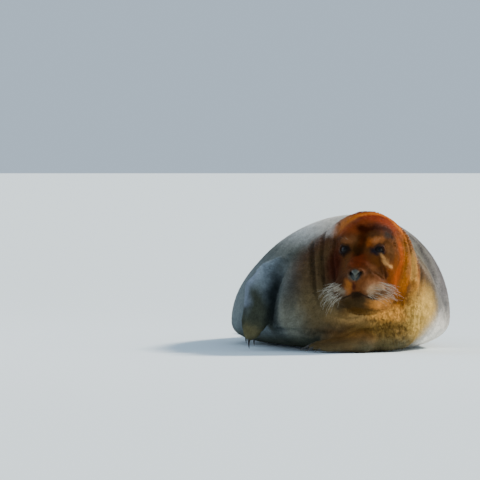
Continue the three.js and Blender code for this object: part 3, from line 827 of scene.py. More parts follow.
# Name: frame, middle, half sizes, how soft the edge is, colour and strength.
PATCHES = {
    # Painted highlight: the hump is partly paler coat and partly light painted onto the top of the back, and
    # the nape patch next carries the same painted sheen forward.
    "pale_hump_and_sheen": (BODY, (-30, -340, 420), (230, 380, 84), 0.9, (231, 228, 222), 0.92),
    "nape": (BODY, (-70, -600, 392), (120, 130, 70), 0.8, (188, 182, 172), 0.6),
    "left_flank": (BODY, (330, -300, 150), (150, 620, 190), 0.5, (130, 128, 126), 0.9),
    "left_saddle": (BODY, (240, -220, 260), (130, 280, 160), 0.9, (104, 101, 101), 0.7),
    "right_flank": (BODY, (-330, -300, 150), (150, 620, 190), 0.5, (110, 121, 125), 0.7),
    "rear_flank": (BODY, (0, 500, 110), (420, 420, 120), 0.5, (128, 124, 112), 0.7),
    "spine": (BODY, (0, 200, 360), (90, 900, 120), 0.6, (102, 99, 89), 0.6),
    "tail": (BODY, (18, 1010, 60), (150, 150, 90), 0.5, (82, 78, 66), 0.8),
    "cape": (HEAD, (-10, 120, -60), (216, 176, 226), 0.35, (74, 34, 0), 0.9),
    # Painted highlight: a pale sheen just behind the dome of the head, joining the hump's.
    "sheen_behind_dome": (HEAD, (-117, 134, 74), (38, 62, 36), 0.6, (200, 192, 180), 0.8),
    "right_neck": (HEAD, (-140, 40, -90), (70, 90, 110), 0.5, (82, 64, 40), 0.8),
    "left_neck": (HEAD, (128, 130, -60), (80, 120, 150), 0.5, (150, 86, 14), 0.9),
    "left_throat": (HEAD, (118, 108, -140), (50, 60, 40), 0.7, (109, 55, 0), 0.8),
    "left_shoulder": (HEAD, (140, 270, -60), (60, 90, 130), 0.6, (77, 64, 48), 0.85),
    "chest": (HEAD, (-140, 50, -180), (110, 90, 70), 0.5, (105, 88, 59), 0.85),
    "pale_chest": (BODY, (-228, -752, 104), (64, 70, 60), 0.7, (119, 117, 101), 0.9),
    "left_chest": (BODY, (180, -760, 110), (90, 110, 80), 0.6, (212, 172, 88), 0.85),
    "throat": (HEAD, (10, 30, -200), (110, 60, 30), 0.5, (171, 134, 80), 0.9),
    "lit_throat": (HEAD, (46, 22, -186), (38, 36, 16), 0.6, (246, 186, 104), 0.8),
    "left_wet_throat": (HEAD, (66, 52, -190), (50, 50, 30), 0.6, (228, 156, 68), 0.85),
    "mask": (HEAD, (13, 50, -24), (98, 150, 128), 0.16, (83, 49, 22), 0.97),
    "dome": (HEAD, (0, 130, 90), (120, 70, 60), 0.6, (92, 30, 0), 0.85),
    "crown": (HEAD, (8, 96, 88), (78, 62, 44), 0.8, (116, 38, 0), 0.8),
    "dome_right": (HEAD, (-76, 96, 80), (36, 60, 40), 0.7, (180, 106, 50), 0.85),
    "forehead": (HEAD, (-36, 30, 66), (46, 44, 24), 0.7, (140, 59, 22), 0.7),
    "dark_crown": (HEAD, (46, 40, 64), (40, 34, 18), 0.8, (34, 0, 0), 0.5),
    "temple": (HEAD, (74, 41, 44), (18, 26, 15), 0.6, (0, 5, 4), 0.85),
    # The left side of the face is painted lighter and the right side darker, as the light falls from the
    # left. This is partly their own colours and partly painted light and shade: so with the cheeks, the pads
    # and the brows below.
    "left_cheek": (HEAD, (84, 34, -56), (22, 44, 70), 0.6, (113, 55, 0), 0.85),
    "outer_cheek": (HEAD, (79, 32, -8), (16, 26, 32), 0.6, (88, 57, 27), 0.85),
    "right_cheek": (HEAD, (-84, 20, -50), (30, 60, 70), 0.6, (55, 12, 5), 0.8),
    "bridge": (HEAD, (0, -40, -34), (28, 36, 36), 0.7, (113, 40, 13), 0.8),
    "below_left_eye": (HEAD, (50, -20, -42), (24, 30, 26), 0.6, (91, 50, 16), 0.85),
    "pads": (HEAD, (0, -40, -104), (86, 56, 34), 0.4, (108, 58, 23), 0.9),
    # Pads: the left paler and the right darker, partly painted light and shade.
    "left_pad": (HEAD, (46, -50, -104), (30, 36, 18), 0.6, (170, 112, 72), 0.8),
    "right_pad": (HEAD, (-46, -44, -100), (36, 40, 34), 0.6, (53, 32, 19), 0.8),
    "upper_lip": (HEAD, (-25, -66, -104), (12, 20, 20), 0.6, (150, 88, 36), 0.85),
    "chin": (HEAD, (-6, -28, -157), (58, 56, 26), 0.5, (66, 46, 20), 0.9),
    "left_jowl": (HEAD, (56, -4, -156), (30, 50, 30), 0.6, (210, 136, 62), 0.85),
    "lower_lip": (HEAD, (-2, -56, -131), (20, 18, 10), 0.6, (34, 25, 14), 0.9),
    "under_chin": (HEAD, (0, -10, -182), (64, 46, 14), 0.5, (84, 54, 16), 0.85),
    # Brows: the left paler and the right darker, partly painted light and shade.
    "left_brow": (HEAD, (48, -4, 32), (20, 20, 9), 0.7, (178, 108, 58), 0.8),
    "inner_brow": (HEAD, (25, -6, 26), (11, 16, 14), 0.8, (168, 84, 26), 0.7),
    "right_brow": (HEAD, (-44, -6, 33), (20, 20, 9), 0.7, (122, 75, 44), 0.8),
    "left_eye_ring": (HEAD, (51, -3, 1), (22, 24, 15), 0.4, (27, 26, 34), 0.94),
    "right_eye_ring": (HEAD, (-51, -3, 2), (22, 24, 16), 0.4, (16, 13, 12), 0.94),
    "left_forearm": (BODY, (40, -850, 50), (100, 70, 52), 0.4, (114, 88, 41), 0.9),
    "left_hand": (BODY, (-90, -890, 34), (100, 60, 40), 0.4, (159, 109, 49), 0.95),
    "right_arm": (BODY, (-270, -600, 210), (60, 70, 80), 0.5, (130, 142, 150), 0.85),
    "right_hand": (BODY, (-310, -590, 100), (64, 70, 110), 0.4, (63, 65, 50), 0.95),
    # Painted light: the low left flank is painted near white where light falls on it and bounces up from the
    # floor.
    "lit_low_left_flank": (BODY, (246, -560, 36), (90, 190, 64), 0.6, (236, 230, 220), 0.9),
    # Painted shade: the armpit is near black where shadow falls under the right arm.
    "armpit": (BODY, (-252, -650, 158), (36, 46, 96), 0.6, (10, 16, 14), 0.92),
    # Painted shade in the fold of the chest beside it.
    "chest_fold_shade": (BODY, (-223, -758, 176), (36, 50, 60), 0.7, (40, 36, 30), 0.6),
    "right_hand_tip": (BODY, (-326, -600, 26), (54, 56, 50), 0.5, (120, 109, 73), 0.85),
    "hind_feet": (BODY, (18, 1130, 40), (300, 160, 80), 0.3, (64, 60, 50), 0.9),
}
# Name: frame, line, half width, how soft the edge is, colour and strength.
STRIPES = {
    "crown_stem": (HEAD, ((2, 14, 66), (3, -1, 47), (3, -7, 27), (-3, -12, 7), (-9, -22, -9),
                          (-15, -34, -18)), 14, 0.8, (62, 24, 0), 0.95),
    "crown_bar": (HEAD, ((-22, 20, 72), (-8, 14, 69), (4, 12, 66), (20, 17, 66), (42, 33, 68),
                         (63, 59, 63), (76, 84, 53)), 10, 0.7, (46, 13, 0), 0.94),
    "between_eyes": (HEAD, ((-26, -6, 6), (-6, -20, 0), (14, -16, 2)), 12, 0.8, (46, 26, 5), 0.85),
    # Partly a pale streak of fur below the left eye and partly a painted highlight on the ridge of its fold.
    "lit_fold_below_eye": (HEAD, ((57, -6, -6), (64, 5, -22), (75, 11, -38), (87, 27, -49)), 6, 1.0,
                       (214, 158, 96), 0.8),
    "eye_corner": (HEAD, ((65, 8, 3), (75, 23, 2), (84, 37, -6)), 4, 1.0, (116, 76, 42), 0.6),
    # Rust-orange along the left cheek's edge, brightened by painted light where the sun grazes it.
    "left_streak_and_grazing_light": (HEAD, ((85, 102, 37), (95, 96, 4), (100, 93, -28), (94, 75, -64), (87, 26, -103)),
                    15, 0.9, (150, 66, 4), 0.8),
    "philtrum": (HEAD, ((-2, -80, -90), (-3, -72, -104), (-3, -66, -120)), 6, 0.8, (61, 25, 18), 0.85),
    # Painted shade along the groove at the left side of the muzzle.
    "muzzle_side_shade": (HEAD, ((62, -10, -40), (70, -8, -62), (80, -6, -84)), 8, 0.8, (63, 33, 15), 0.8),
    "gold_band": (HEAD, ((100, 157, 26), (109, 146, -4), (115, 137, -36), (114, 115, -77)), 10, 0.95,
                  (129, 89, 48), 0.8),
    "gold_band_outer": (HEAD, ((112, 182, 0), (113, 180, -22), (118, 170, -52), (122, 142, -98)), 10, 0.95,
                        (235, 180, 96), 0.7),
    # Painted shade in the deep crease on the left of the neck.
    "neck_crease_shade": (HEAD, ((98, 176, 36), (104, 180, -4), (116, 152, -40), (117, 124, -80)), 5, 0.9,
                    (80, 44, 5), 0.7),
    # Painted shadow: a broad dark band on the left shoulder, behind the neck.
    "shoulder_shadow": (BODY, ((90, -430, 400), (150, -440, 378), (212, -450, 328), (246, -430, 292),
                             (268, -480, 240), (280, -500, 190), (284, -500, 140)),
                      56, 0.95, (80, 77, 82), 0.75),
    # Painted shade in the crease between the neck and the left shoulder.
    "shade_behind_neck": (BODY, ((20, -450, 424), (96, -490, 398), (146, -500, 368), (190, -520, 326),
                           (216, -560, 290), (236, -575, 250), (250, -585, 200), (262, -590, 150)), 11, 1.0,
                    (48, 44, 50), 0.72),
    # Painted light: a pale rim just inside the outline of the neck's left side.
    "neck_rim_light": (BODY, ((146, -761, 319), (169, -722, 283), (201, -661, 243), (222, -653, 206)), 17, 1.0,
                 (140, 126, 110), 0.5),
    # Painted light: a pale bluish streak where light strikes the outer edge of the right arm.
    "arm_outer_light": (BODY, ((-299, -613, 250), (-325, -575, 213), (-338, -569, 170), (-341, -563, 134)),
                  24, 0.9, (132, 142, 156), 0.8),
    # Painted light: an orange rim of sunlight along the top edge of the dome, over the rust.
    "dome_rim_light": (HEAD, ((-65, 78, 82), (-49, 107, 100), (-23, 124, 109), (4, 145, 110), (28, 166, 103),
                        (57, 163, 85), (82, 157, 61), (98, 157, 31)), 16, 0.9, (190, 100, 16), 0.75),
    "left_whiskers": (HEAD, ((34, -68, -122), (48, -64, -114), (65, -56, -106), (80, -40, -104)), 11, 0.9,
                      (207, 172, 131), 0.6),
    "right_whiskers": (HEAD, ((-34, -70, -122), (-56, -62, -114), (-78, -38, -106), (-90, -8, -102)),
                       10, 0.9, (150, 140, 120), 0.5),
    "lips": (HEAD, None, 5, 0.7, (22, 15, 8), 0.85),
}


def soft_step(t):
    t = np.clip(t, 0, 1)
    return t * t * (3 - 2 * t)


def mix_in(colour, wanted, weight):
    colour += (linear(wanted) - colour) * weight[:, None]


def ragged(p):
    """The points shifted a little to and fro, so that no patch has an even edge."""
    waves = np.array([(1, 0.3, -0.5), (-0.4, 1, 0.6), (0.5, -0.7, 1)])
    wide = np.sin(p @ waves.T / 9 + 1.3 * np.sin(p @ waves / 23))
    return p + 3.2 * wide + 1.4 * np.sin(p @ waves[::-1].T / 3.1)


HEAD_FOLD_SHADE = 0.75
BODY_FOLD_SHADE = 0.4


def markings(p):
    """The coat's colour at each point: patches, then stripes, the belly and the folds' shade."""
    colour = np.tile(linear(BACK_GREY), (len(p), 1))
    place = ragged(p)
    q = into_head(place)
    for where, middle, half, edge, wanted, strength in PATCHES.values():
        size = np.linalg.norm(((q if where == HEAD else place) - middle) / half, axis=1)
        mix_in(colour, wanted, strength * soft_step((1 + edge - size) / (2 * edge)))
    for where, line, half, edge, wanted, strength in STRIPES.values():
        line = into_head(MOUTH_LINE) if line is None else line
        away, along = from_line(q if where == HEAD else place, smooth_line(line))
        fade = soft_step(0.3 + 6 * np.minimum(along, 1 - along))
        mix_in(colour, wanted, strength * fade * soft_step((1 + edge - away / half) / (2 * edge)))
    belly = soft_step((64 - p[:, 2]) / 40) * soft_step((900 - p[:, 1]) / 300)
    belly *= soft_step((190 - p[:, 0]) / 90)
    mix_in(colour, BELLY_OLIVE, 0.75 * belly)
    for name, (line, radius, _, _) in folds.items():
        away, along = from_line(p, line)
        fade = np.clip(np.minimum(along, 1 - along) * 4, 0, 1)
        shade = HEAD_FOLD_SHADE if name in HEAD_FOLDS else BODY_FOLD_SHADE
        shade = shade * fade * soft_step(1.6 - away / radius)
        colour *= 1 - shade[:, None]
    return colour


print(len(PATCHES), "patches and", len(STRIPES), "stripes")


# %% Where the skin is bare, and how the hair lies
def nose_pad_size(half):
    """0 in the middle of the nose leather, 1 at its edge."""
    return np.linalg.norm((half - (0, -76, -71)) / (15.5, 26, 16.5), axis=1)


def bare_skin(p):
    """1 on the nose, the lips and the lid edges, 0 on fur."""
    q = into_head(p)
    half = mirrored(q)
    nose = soft_step(4.5 - 4 * nose_pad_size(half))
    lips = soft_step(1.7 - from_line(p, MOUTH_LINE)[0] / 5)
    lids = soft_step(1.5 - outside_opening(half, 1) / 3) * (half[:, 1] < 24)
    return np.maximum(np.maximum(nose, lips * (q[:, 1] < 10)), lids)


def on_flippers(p):
    """How much a point belongs to each flipper's hand, from 0 to 1."""
    weights = []
    for limb in LIMBS.values():
        q = (p - limb["wrist"]) @ limb["axes"]
        hand = soft_step((q[:, 0] + 60) / 60) * (np.linalg.norm(q, axis=1) < 340)
        beside = (outside_flipper(p, limb) < 12) & (np.abs(q[:, 2]) < 60)
        weights.append(hand * beside)
    return np.array(weights).T


def lie_of_coat(p, hands):
    """The way hair points: back from the nose, along the body, and down the flippers."""
    q = into_head(p)
    from_nose = q - (0, -96, -78)
    reach = np.linalg.norm(from_nose, axis=1)
    face = np.exp(-((np.maximum(reach - 60, 0) / 150) ** 2))
    lie = face[:, None] * (from_nose / reach[:, None]) @ head_axes.T
    lie += (1 - face)[:, None] * (0, 0.95, -0.3)
    for weight, limb in zip(hands.T, LIMBS.values()):
        lie += 3 * weight[:, None] * limb["axes"][:, 0]
    return lie / np.linalg.norm(lie, axis=1)[:, None]


SOAKED_AT = (96, -840, 104)


def how_soaked(p):
    """1 where the chest hair is wet through and clings in spikes, 0 elsewhere."""
    return soft_step(1.8 - np.linalg.norm((p - SOAKED_AT) / (84, 90, 58), axis=1))


FACE_HAIR, BODY_HAIR, LID_HAIR = 5.0, 10.0, 4  # lengths in millimetres
THROAT_EXTRA = 3.5
SOAKED_EXTRA = 6
HAND_SHORTER = 0.28  # as a part of the length


def hair_length(p, hands):
    q = into_head(p)
    half = mirrored(q)
    from_face = np.linalg.norm((q - (0, -10, -60)) / (1, 1, 1.1), axis=1)
    length = FACE_HAIR + (BODY_HAIR - FACE_HAIR) * soft_step((from_face - 60) / 200)
    eye = np.linalg.norm(half - np.array(EYE_AT) * (1, -0.2, 1), axis=1)
    length = np.minimum(length, LID_HAIR + 12 * soft_step((eye - 16) / 60))
    throat = soft_step(1.8 - np.linalg.norm((q - (60, 46, -186)) / (80, 60, 50), axis=1))
    length += THROAT_EXTRA * throat + SOAKED_EXTRA * how_soaked(p)
    return length * (1 - HAND_SHORTER * hands.max(1))


print("soaked round", SOAKED_AT)


# %% Lay them on the skin
def lay(mesh, name, kind, values, domain="POINT"):
    """Values kept on a mesh's points, or on its faces' corners, under a name."""
    layer = mesh.attributes.new(name, kind, domain)
    field = {"FLOAT": "value", "FLOAT_VECTOR": "vector", "FLOAT_COLOR": "color"}[kind]
    layer.data.foreach_set(field, np.ascontiguousarray(values, np.float32).ravel())


NOSE_LEATHER = (72, 76, 68)
NOSTRIL_DARK = (14, 13, 14)
places = places_of(skin_mesh)
places[:, 2] = np.maximum(places[:, 2], 0)
hands = on_flippers(places)
bare = bare_skin(places)
coat_colour = markings(places)
leather = soft_step(4 - 3.5 * nose_pad_size(mirrored(into_head(places))))
mix_in(coat_colour, NOSE_LEATHER, 0.92 * leather)
nostrils = from_line(mirrored(into_head(places)), NOSTRIL)[0]
mix_in(coat_colour, NOSTRIL_DARK, soft_step(1.8 - nostrils / 4))
lie = lie_of_coat(places, hands)
length = hair_length(places, hands)
put(skin_mesh, places / 1000)
lay(skin_mesh, "coat_colour", "FLOAT_COLOR", np.column_stack([coat_colour, np.ones(len(places))]))
lay(skin_mesh, "bare", "FLOAT", bare)
lay(skin_mesh, "wet", "FLOAT", leather)
soaked = how_soaked(places)
lay(skin_mesh, "soaked", "FLOAT", soaked)
lay(skin_mesh, "lie", "FLOAT_VECTOR", lie)
skin_mesh.shade_smooth()
skin = in_scene("skin", skin_mesh)
print("hair from", round(length.min(), 1), "to", round(length.max(), 1), "mm")

# %% [markdown]
# ## Finishes
# Short wet fur, bare nose leather, horn and the eye each reflect light in their own way. Skin and coat
# share one thing: fine hair makes their colour uneven. That effect is a node group, built once for
# both, with the colour going in and a broken-up colour and a height coming out. It reads Object
# coordinates, stretched along the body, so the grain runs the way the hair lies.


# %% Helpers for nodes
def node(tree, kind, inputs=None, **settings):
    """A node with its settings made and its inputs linked or set."""
    made = tree.nodes.new(kind)
    for key, value in settings.items():
        setattr(made, key, value)
    wire(tree, made, inputs or {})
    return made


def math_node(tree, operation, a, b):
    return node(tree, "ShaderNodeMath", {0: a, 1: b}, operation=operation).outputs[0]


def scaled(tree, vector, by):
    return node(tree, "ShaderNodeVectorMath", {0: vector, "Scale": by}, operation="SCALE").outputs[0]


def added(tree, a, b):
    return node(tree, "ShaderNodeVectorMath", {0: a, 1: b}, operation="ADD").outputs[0]


def ranged(tree, value, low, high, start=0.0, end=1.0):
    """A value between start and end, turned into one between low and high."""
    inputs = {"Value": value, "From Min": start, "From Max": end, "To Min": low, "To Max": high}
    return node(tree, "ShaderNodeMapRange", inputs).outputs[0]


def noise(tree, place, scale, detail, **more):
    inputs = {"Vector": place, "Scale": scale, "Detail": detail, **more}
    return node(tree, "ShaderNodeTexNoise", inputs).outputs["Fac"]


def group_of(name, kind, takes, gives):
    """A node group with named inputs, of a kind and a value each, and named outputs."""
    group = bpy.data.node_groups.new(name, kind)
    for label, socket, value in takes:
        made = group.interface.new_socket(label, in_out="INPUT", socket_type=socket)
        if value is not None:
            made.default_value = value
    for label, socket in gives:
        group.interface.new_socket(label, in_out="OUTPUT", socket_type=socket)
    return group


print("helpers ready")


# %% Grain: single hairs, clumps and wide blotches, with spikes where the coat is soaked
grain = group_of(
    "hair_grain", "ShaderNodeTree",
    [("Colour", "NodeSocketColor", (0.5, 0.5, 0.5, 1)), ("Fineness", "NodeSocketFloat", 1.0),
     ("Contrast", "NodeSocketFloat", 0.3), ("Soaked", "NodeSocketFloat", 0.0)],
    [("Colour", "NodeSocketColor"), ("Height", "NodeSocketFloat")],
)
HAIR_GRAIN, CLUMP_GRAIN, BLOTCH_GRAIN, SPIKE_GRAIN = 420.0, 60.0, 9.0, 110.0  # noise scales
takes = node(grain, "NodeGroupInput").outputs
place = node(grain, "ShaderNodeTexCoord").outputs["Object"]
stretched = node(grain, "ShaderNodeMapping", {"Vector": place, "Scale": (1.0, 0.28, 1.0)}).outputs[0]
fine = math_node(grain, "MULTIPLY", takes["Fineness"], HAIR_GRAIN)
hairs = noise(grain, stretched, fine, 3.0, Roughness=0.65)
clumps = noise(grain, stretched, CLUMP_GRAIN, 3.0)
blotches = noise(grain, place, BLOTCH_GRAIN, 4.0)
together = math_node(grain, "ADD", math_node(grain, "ADD", hairs, clumps), blotches)
uneven = math_node(grain, "MULTIPLY", ranged(grain, together, -1.0, 1.0, 1.0, 2.0), takes["Contrast"])
drawn_out = node(grain, "ShaderNodeMapping", {"Vector": place, "Scale": (1.0, 0.36, 0.6)}).outputs[0]
spikes = noise(grain, drawn_out, SPIKE_GRAIN, 2.5, Distortion=0.9)
spikes = ranged(grain, spikes, 0.6, 1.35, 0.4, 0.64)
wetness = node(grain, "ShaderNodeMix", {0: takes["Soaked"], 2: 1.0, 3: spikes}).outputs[0]
gain = math_node(grain, "MULTIPLY", math_node(grain, "ADD", uneven, 1.0), wetness)
node(grain, "NodeGroupOutput", {"Colour": scaled(grain, takes["Colour"], gain), "Height": hairs})
print("grain group with", len(grain.nodes), "nodes")


# %% The skin's and the coat's materials
def attribute(tree, name, output="Fac"):
    return node(tree, "ShaderNodeAttribute", attribute_name=name).outputs[output]


def furred(tree, contrast):
    """The grain over the coat's own colours."""
    inputs = {"Colour": attribute(tree, "coat_colour", "Color"), "Soaked": attribute(tree, "soaked"),
              "Contrast": contrast}
    made = tree.nodes.new("ShaderNodeGroup")
    made.node_tree = grain
    wire(tree, made, inputs)
    return made.outputs


def bumped(tree, height, depth):
    inputs = {"Height": height, "Strength": 0.5, "Distance": depth}
    return node(tree, "ShaderNodeBump", inputs).outputs[0]


skin_finish, tree, shader = new_material("short_fur_and_leather")
fur = furred(tree, 0.55)
wire(tree, shader, {
    "Base Color": fur["Colour"],
    "Roughness": ranged(tree, attribute(tree, "bare"), 0.62, 0.42),
    "Coat Weight": ranged(tree, attribute(tree, "wet"), 0.0, 0.6),
    "Coat Roughness": 0.25,
    "Specular IOR Level": 0.03,
    "Normal": bumped(tree, fur["Height"], 0.002),
})
skin_mesh.materials.append(skin_finish)

coat_finish, tree, shader = new_material("coat")
towards_tip = ranged(tree, attribute(tree, "up_hair"), 0.84, 1.14)
toned = math_node(tree, "MULTIPLY", towards_tip, attribute(tree, "tone"))
own = node(tree, "ShaderNodeNewGeometry").outputs["Normal"]
soft = node(tree, "ShaderNodeMix", {0: 0.8, 4: own, 5: attribute(tree, "skin_out", "Vector")},
            data_type="VECTOR")
wire(tree, shader, {
    "Base Color": scaled(tree, furred(tree, 0.35)["Colour"], toned),
    "Roughness": 0.75,
    "Specular IOR Level": 0.02,
    "Normal": soft.outputs[1],
})
print(skin_finish.name, "and", coat_finish.name)

# %% [markdown]
# ## Eyes
# A seal's eye is large and looks black: a wide pupil in a very dark brown iris, under a clear bulging
# cornea that is always wet. The cornea and the iris could be two shells, but at this size one ball
# with a bulge in front and a clear coat on it gives the same catchlights with no hidden faces. The
# rings of the ball run round its line of sight, so pupil, iris and white are read from them.

# %% The wet eye's material
def mixed(tree, weight, first, second):
    """One colour turning into another."""
    return node(tree, "ShaderNodeMix", {0: weight, 6: first, 7: second}, data_type="RGBA").outputs[2]


def ramp(tree, value, *stops):
    """A colour that runs through stops, each a place and a colour."""
    made = node(tree, "ShaderNodeValToRGB", {"Fac": value})
    elements = made.color_ramp.elements
    elements.remove(elements[1])
    for n, (place, colour) in enumerate(stops):
        stop = elements.new(place) if n else elements[0]
        stop.position = place
        stop.color = (*colour, 1)
    return made.outputs["Color"]


eye_finish, tree, shader = new_material("wet_eye")
streaks = noise(tree, attribute(tree, "iris_place", "Vector"), 7.0, 4.0)
iris = ramp(tree, streaks, (0, (0.003, 0.002, 0.002)), (1, (0.012, 0.007, 0.005)))
white = ranged(tree, attribute(tree, "from_sight"), 0.0, 1.0, 0.93, 1.02)
past_pupil = ranged(tree, attribute(tree, "from_pupil"), 0.0, 1.0, 1.0, 1.15)
ball = mixed(tree, white, iris, (0.012, 0.010, 0.010, 1))
wire(tree, shader, {
    "Base Color": mixed(tree, past_pupil, (0.002, 0.002, 0.003, 1), ball),
    "Roughness": 0.3,
    "Specular IOR Level": 0.05,
    "Coat Weight": 0.22,
    "Coat Roughness": 0.02,
    "Coat IOR": 1.34,
})
print(eye_finish.name, "of", len(tree.nodes), "nodes")

# %% The eyeballs
CORNEA = 1.1  # rise of the cornea over the ball
PUPIL = (0.20, 0.30)  # half width and half height, as parts of the ball's radius


def new_piece(name, mesh, slot, *materials):
    for material in materials:
        mesh.materials.append(material)
    made = in_scene(name, mesh)
    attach(made, "root")
    return made


def faces_of_rings(rings, around):
    """Quads between rings of points, with the first and last ring closed by a fan to a point."""
    faces = []
    for r in range(rings - 1):
        for k in range(around):
            a, b = r * around + k, r * around + (k + 1) % around
            faces.append((a, b, b + around, a + around))
    first, last = rings * around, rings * around + 1
    for k in range(around):
        faces.append((first, (k + 1) % around, k))
        faces.append((last, (rings - 1) * around + k, (rings - 1) * around + (k + 1) % around))
    return faces


def closed_mesh(name, points, faces):
    """A smooth mesh in metres of points in millimetres, with its faces turned outwards."""
    mesh = bpy.data.meshes.new(name)
    mesh.from_pydata((points / 1000).tolist(), [], faces)
    form = bmesh.new()
    form.from_mesh(mesh)
    bmesh.ops.recalc_face_normals(form, faces=form.faces)
    form.to_mesh(mesh)
    form.free()
    mesh.shade_smooth()
    return mesh


def eyeball(side, rings=40, around=48):
    off = np.repeat(np.linspace(0, np.pi, rings + 2)[1:-1], around)
    turn = np.tile(np.arange(around) * 2 * np.pi / around, rings)
    off = np.append(off, [0, np.pi])
    turn = np.append(turn, [0, 0])
    front = np.column_stack([np.sin(off) * np.cos(turn), np.sin(off) * np.sin(turn), np.cos(off)])
    reach = EYE_RADIUS + CORNEA * soft_step((0.85 - off) / 0.5)
    q = np.array(EYE_AT) * (side, 1, 1) + (front * reach[:, None]) @ eye_axes(side).T
    mesh = closed_mesh("eye", from_head(q), faces_of_rings(rings, around))
    lay(mesh, "from_sight", "FLOAT", off)
    lay(mesh, "from_pupil", "FLOAT", np.hypot(front[:, 0] / PUPIL[0], front[:, 1] / PUPIL[1]))
    outwards = np.column_stack([np.cos(turn), np.sin(turn), 0.15 * off])
    lay(mesh, "iris_place", "FLOAT_VECTOR", outwards)
    return mesh


for name, side in EYES.items():
    eye = new_piece("eyeball_" + name, eyeball(side), "eye", eye_finish)
    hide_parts("eye_" + name)
print("eyeballs of", EYE_RADIUS * 2, "mm")

# %% [markdown]
# ## Claws
# Each digit ends in a strong dark claw, round above and hollow below, with growth lines across it
# and a paler, worn tip. A cone with a bend would have the outline. Here a few rings of points follow
# the bend, each ring flattened below, and the material draws the lines along the claw's own length.

# %% Horn
horn, tree, shader = new_material("horn")
lines = noise(tree, attribute(tree, "claw_place", "Vector"), 5.0, 3.0)
ROOT_HORN, MID_HORN, TIP_HORN = (0.030, 0.022, 0.017), (0.036, 0.028, 0.022), (0.120, 0.092, 0.066)
tone = ramp(tree, attribute(tree, "along"), (0, ROOT_HORN), (0.75, MID_HORN), (1, TIP_HORN))
wire(tree, shader, {
    "Base Color": scaled(tree, tone, ranged(tree, lines, 0.6, 1.5)),
    "Roughness": ranged(tree, lines, 0.3, 0.55),
    "Normal": bumped(tree, lines, 0.0005),
})
print(horn.name, "of", len(tree.nodes), "nodes")

# %% The claws
CLAW_RINGS = 12
CLAW_AROUND = 12
WITHIN_RADIUS = 0.94  # of the solid claw's, so that the finished one stays inside it
WITHIN_LENGTH = 0.985


def claw_points(limb, digit, rings, around):
    """A claw's points, in the seal's frame, how far along it each is, and its place for the horn."""
    sizes = limb["build"]["claw"]
    along, out = limb["tips"][digit]
    wide = limb["build"]["digits"][digit][0]
    t = np.repeat(np.linspace(0, 1, rings) ** 1.15 * WITHIN_LENGTH, around)
    turn = np.tile(np.arange(around) * 2 * np.pi / around, rings)
    t = np.append(t, [0, 1])
    turn = np.append(turn, [0, 0])
    radius = sizes["radius"] * WITHIN_RADIUS * np.sqrt(np.maximum(1 - t, 0)) * (1 - 0.35 * t)
    radius[-2:] = 0
    up = np.sin(turn) * np.where(np.sin(turn) < 0, 0.7, 1.15)
    x = t * sizes["length"] * WITHIN_LENGTH
    y = radius * np.cos(turn) * 0.9
    z = radius * up - sizes["droop"] * t**2
    angle = math.atan2(out - wide, along)
    lift = sizes["lift"] * limb["build"]["thick"][1] - 0.001 * limb["curl"] * along**2
    q = np.column_stack([
        along + sizes["set"] + x * math.cos(angle) - y * math.sin(angle),
        out + x * math.sin(angle) + y * math.cos(angle),
        lift + z,
    ])
    p = q @ limb["axes"].T + limb["wrist"]
    p[:, 2] = np.maximum(p[:, 2], 0.3)
    return p, t, np.column_stack([t * 8, 0.4 * np.cos(turn), 0.4 * up])


for limb_name, limb in LIMBS.items():
    made = [claw_points(limb, digit, CLAW_RINGS, CLAW_AROUND) for digit in range(5)]
    points, alongs, horn_places = (np.concatenate(part) for part in zip(*made))
    faces = []
    for n in range(5):
        first = n * len(points) // 5
        faces += [tuple(v + first for v in f) for f in faces_of_rings(CLAW_RINGS, CLAW_AROUND)]
    mesh = closed_mesh("claws", points, faces)
    lay(mesh, "along", "FLOAT", alongs)
    lay(mesh, "claw_place", "FLOAT_VECTOR", horn_places)
    claws = new_piece("claws_" + limb_name, mesh, "claw", horn)
    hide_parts(*["claw_" + limb_name + "_" + str(n + 1) for n in range(5)])
print("claws on", len(LIMBS), "flippers")

# %% [markdown]
# ## The coat
# A bearded seal's coat is short, flat and a little rough, a guard hair of about 15 mm over hardly any
# underfur. Particle hair would draw it best but can't be exported, so the hair is solid mesh: small
# tufts of three thin blades each, grown by one Geometry Nodes tree. Points are scattered on a bed
# cut from the skin, each tuft turns to stand on the skin and to lie along the coat, and takes the
# skin's colour at its root. The bed also carries an unwrap of the skin, and each tuft's own map sits
# at its root's place there, so that a baked colour stays that of its root.

# %% One tuft
BLADES = ((-0.06, -9, 0.80), (0.0, 1, 1.0), (0.065, 8, 0.88))  # place across, turn, length


def tuft_mesh(name, width, rise):
    """Blades that leave the skin steeply and bend over to lie along it, one unit long."""
    verts, faces, heights, patch = [], [], [], []
    for place, turn, long in BLADES:
        a = math.radians(turn)
        start = len(verts)
        for t, wide, z in ((0.0, 0.7, -0.03), (0.42, 1.0, rise), (1.0, 0.0, rise * 1.15)):
            for edge in (-0.5, 0.5) if wide else (0.0,):
                across = place + edge * wide * width
                out = t * long
                x = out * math.cos(a) - across * math.sin(a)
                y = out * math.sin(a) + across * math.cos(a)
                verts.append((x, y, z))
                heights.append(t)
                patch.append((t, 0.5 + across * 4))
        faces.append((start, start + 2, start + 3, start + 1))
        faces.append((start + 2, start + 4, start + 3))
    mesh = bpy.data.meshes.new(name)
    mesh.from_pydata(verts, [], faces)
    lay(mesh, "up_hair", "FLOAT", heights)
    lay(mesh, "patch", "FLOAT_VECTOR", [(u, v, 0) for u, v in patch])
    mesh.shade_smooth()
    return bpy.data.objects.new(name, mesh)


short_tuft = tuft_mesh("short_tuft", 0.10, 0.11)
wet_tuft = tuft_mesh("wet_tuft", 0.085, 0.2)
print("a tuft has", sum(len(f.vertices) - 2 for f in short_tuft.data.polygons), "triangles")


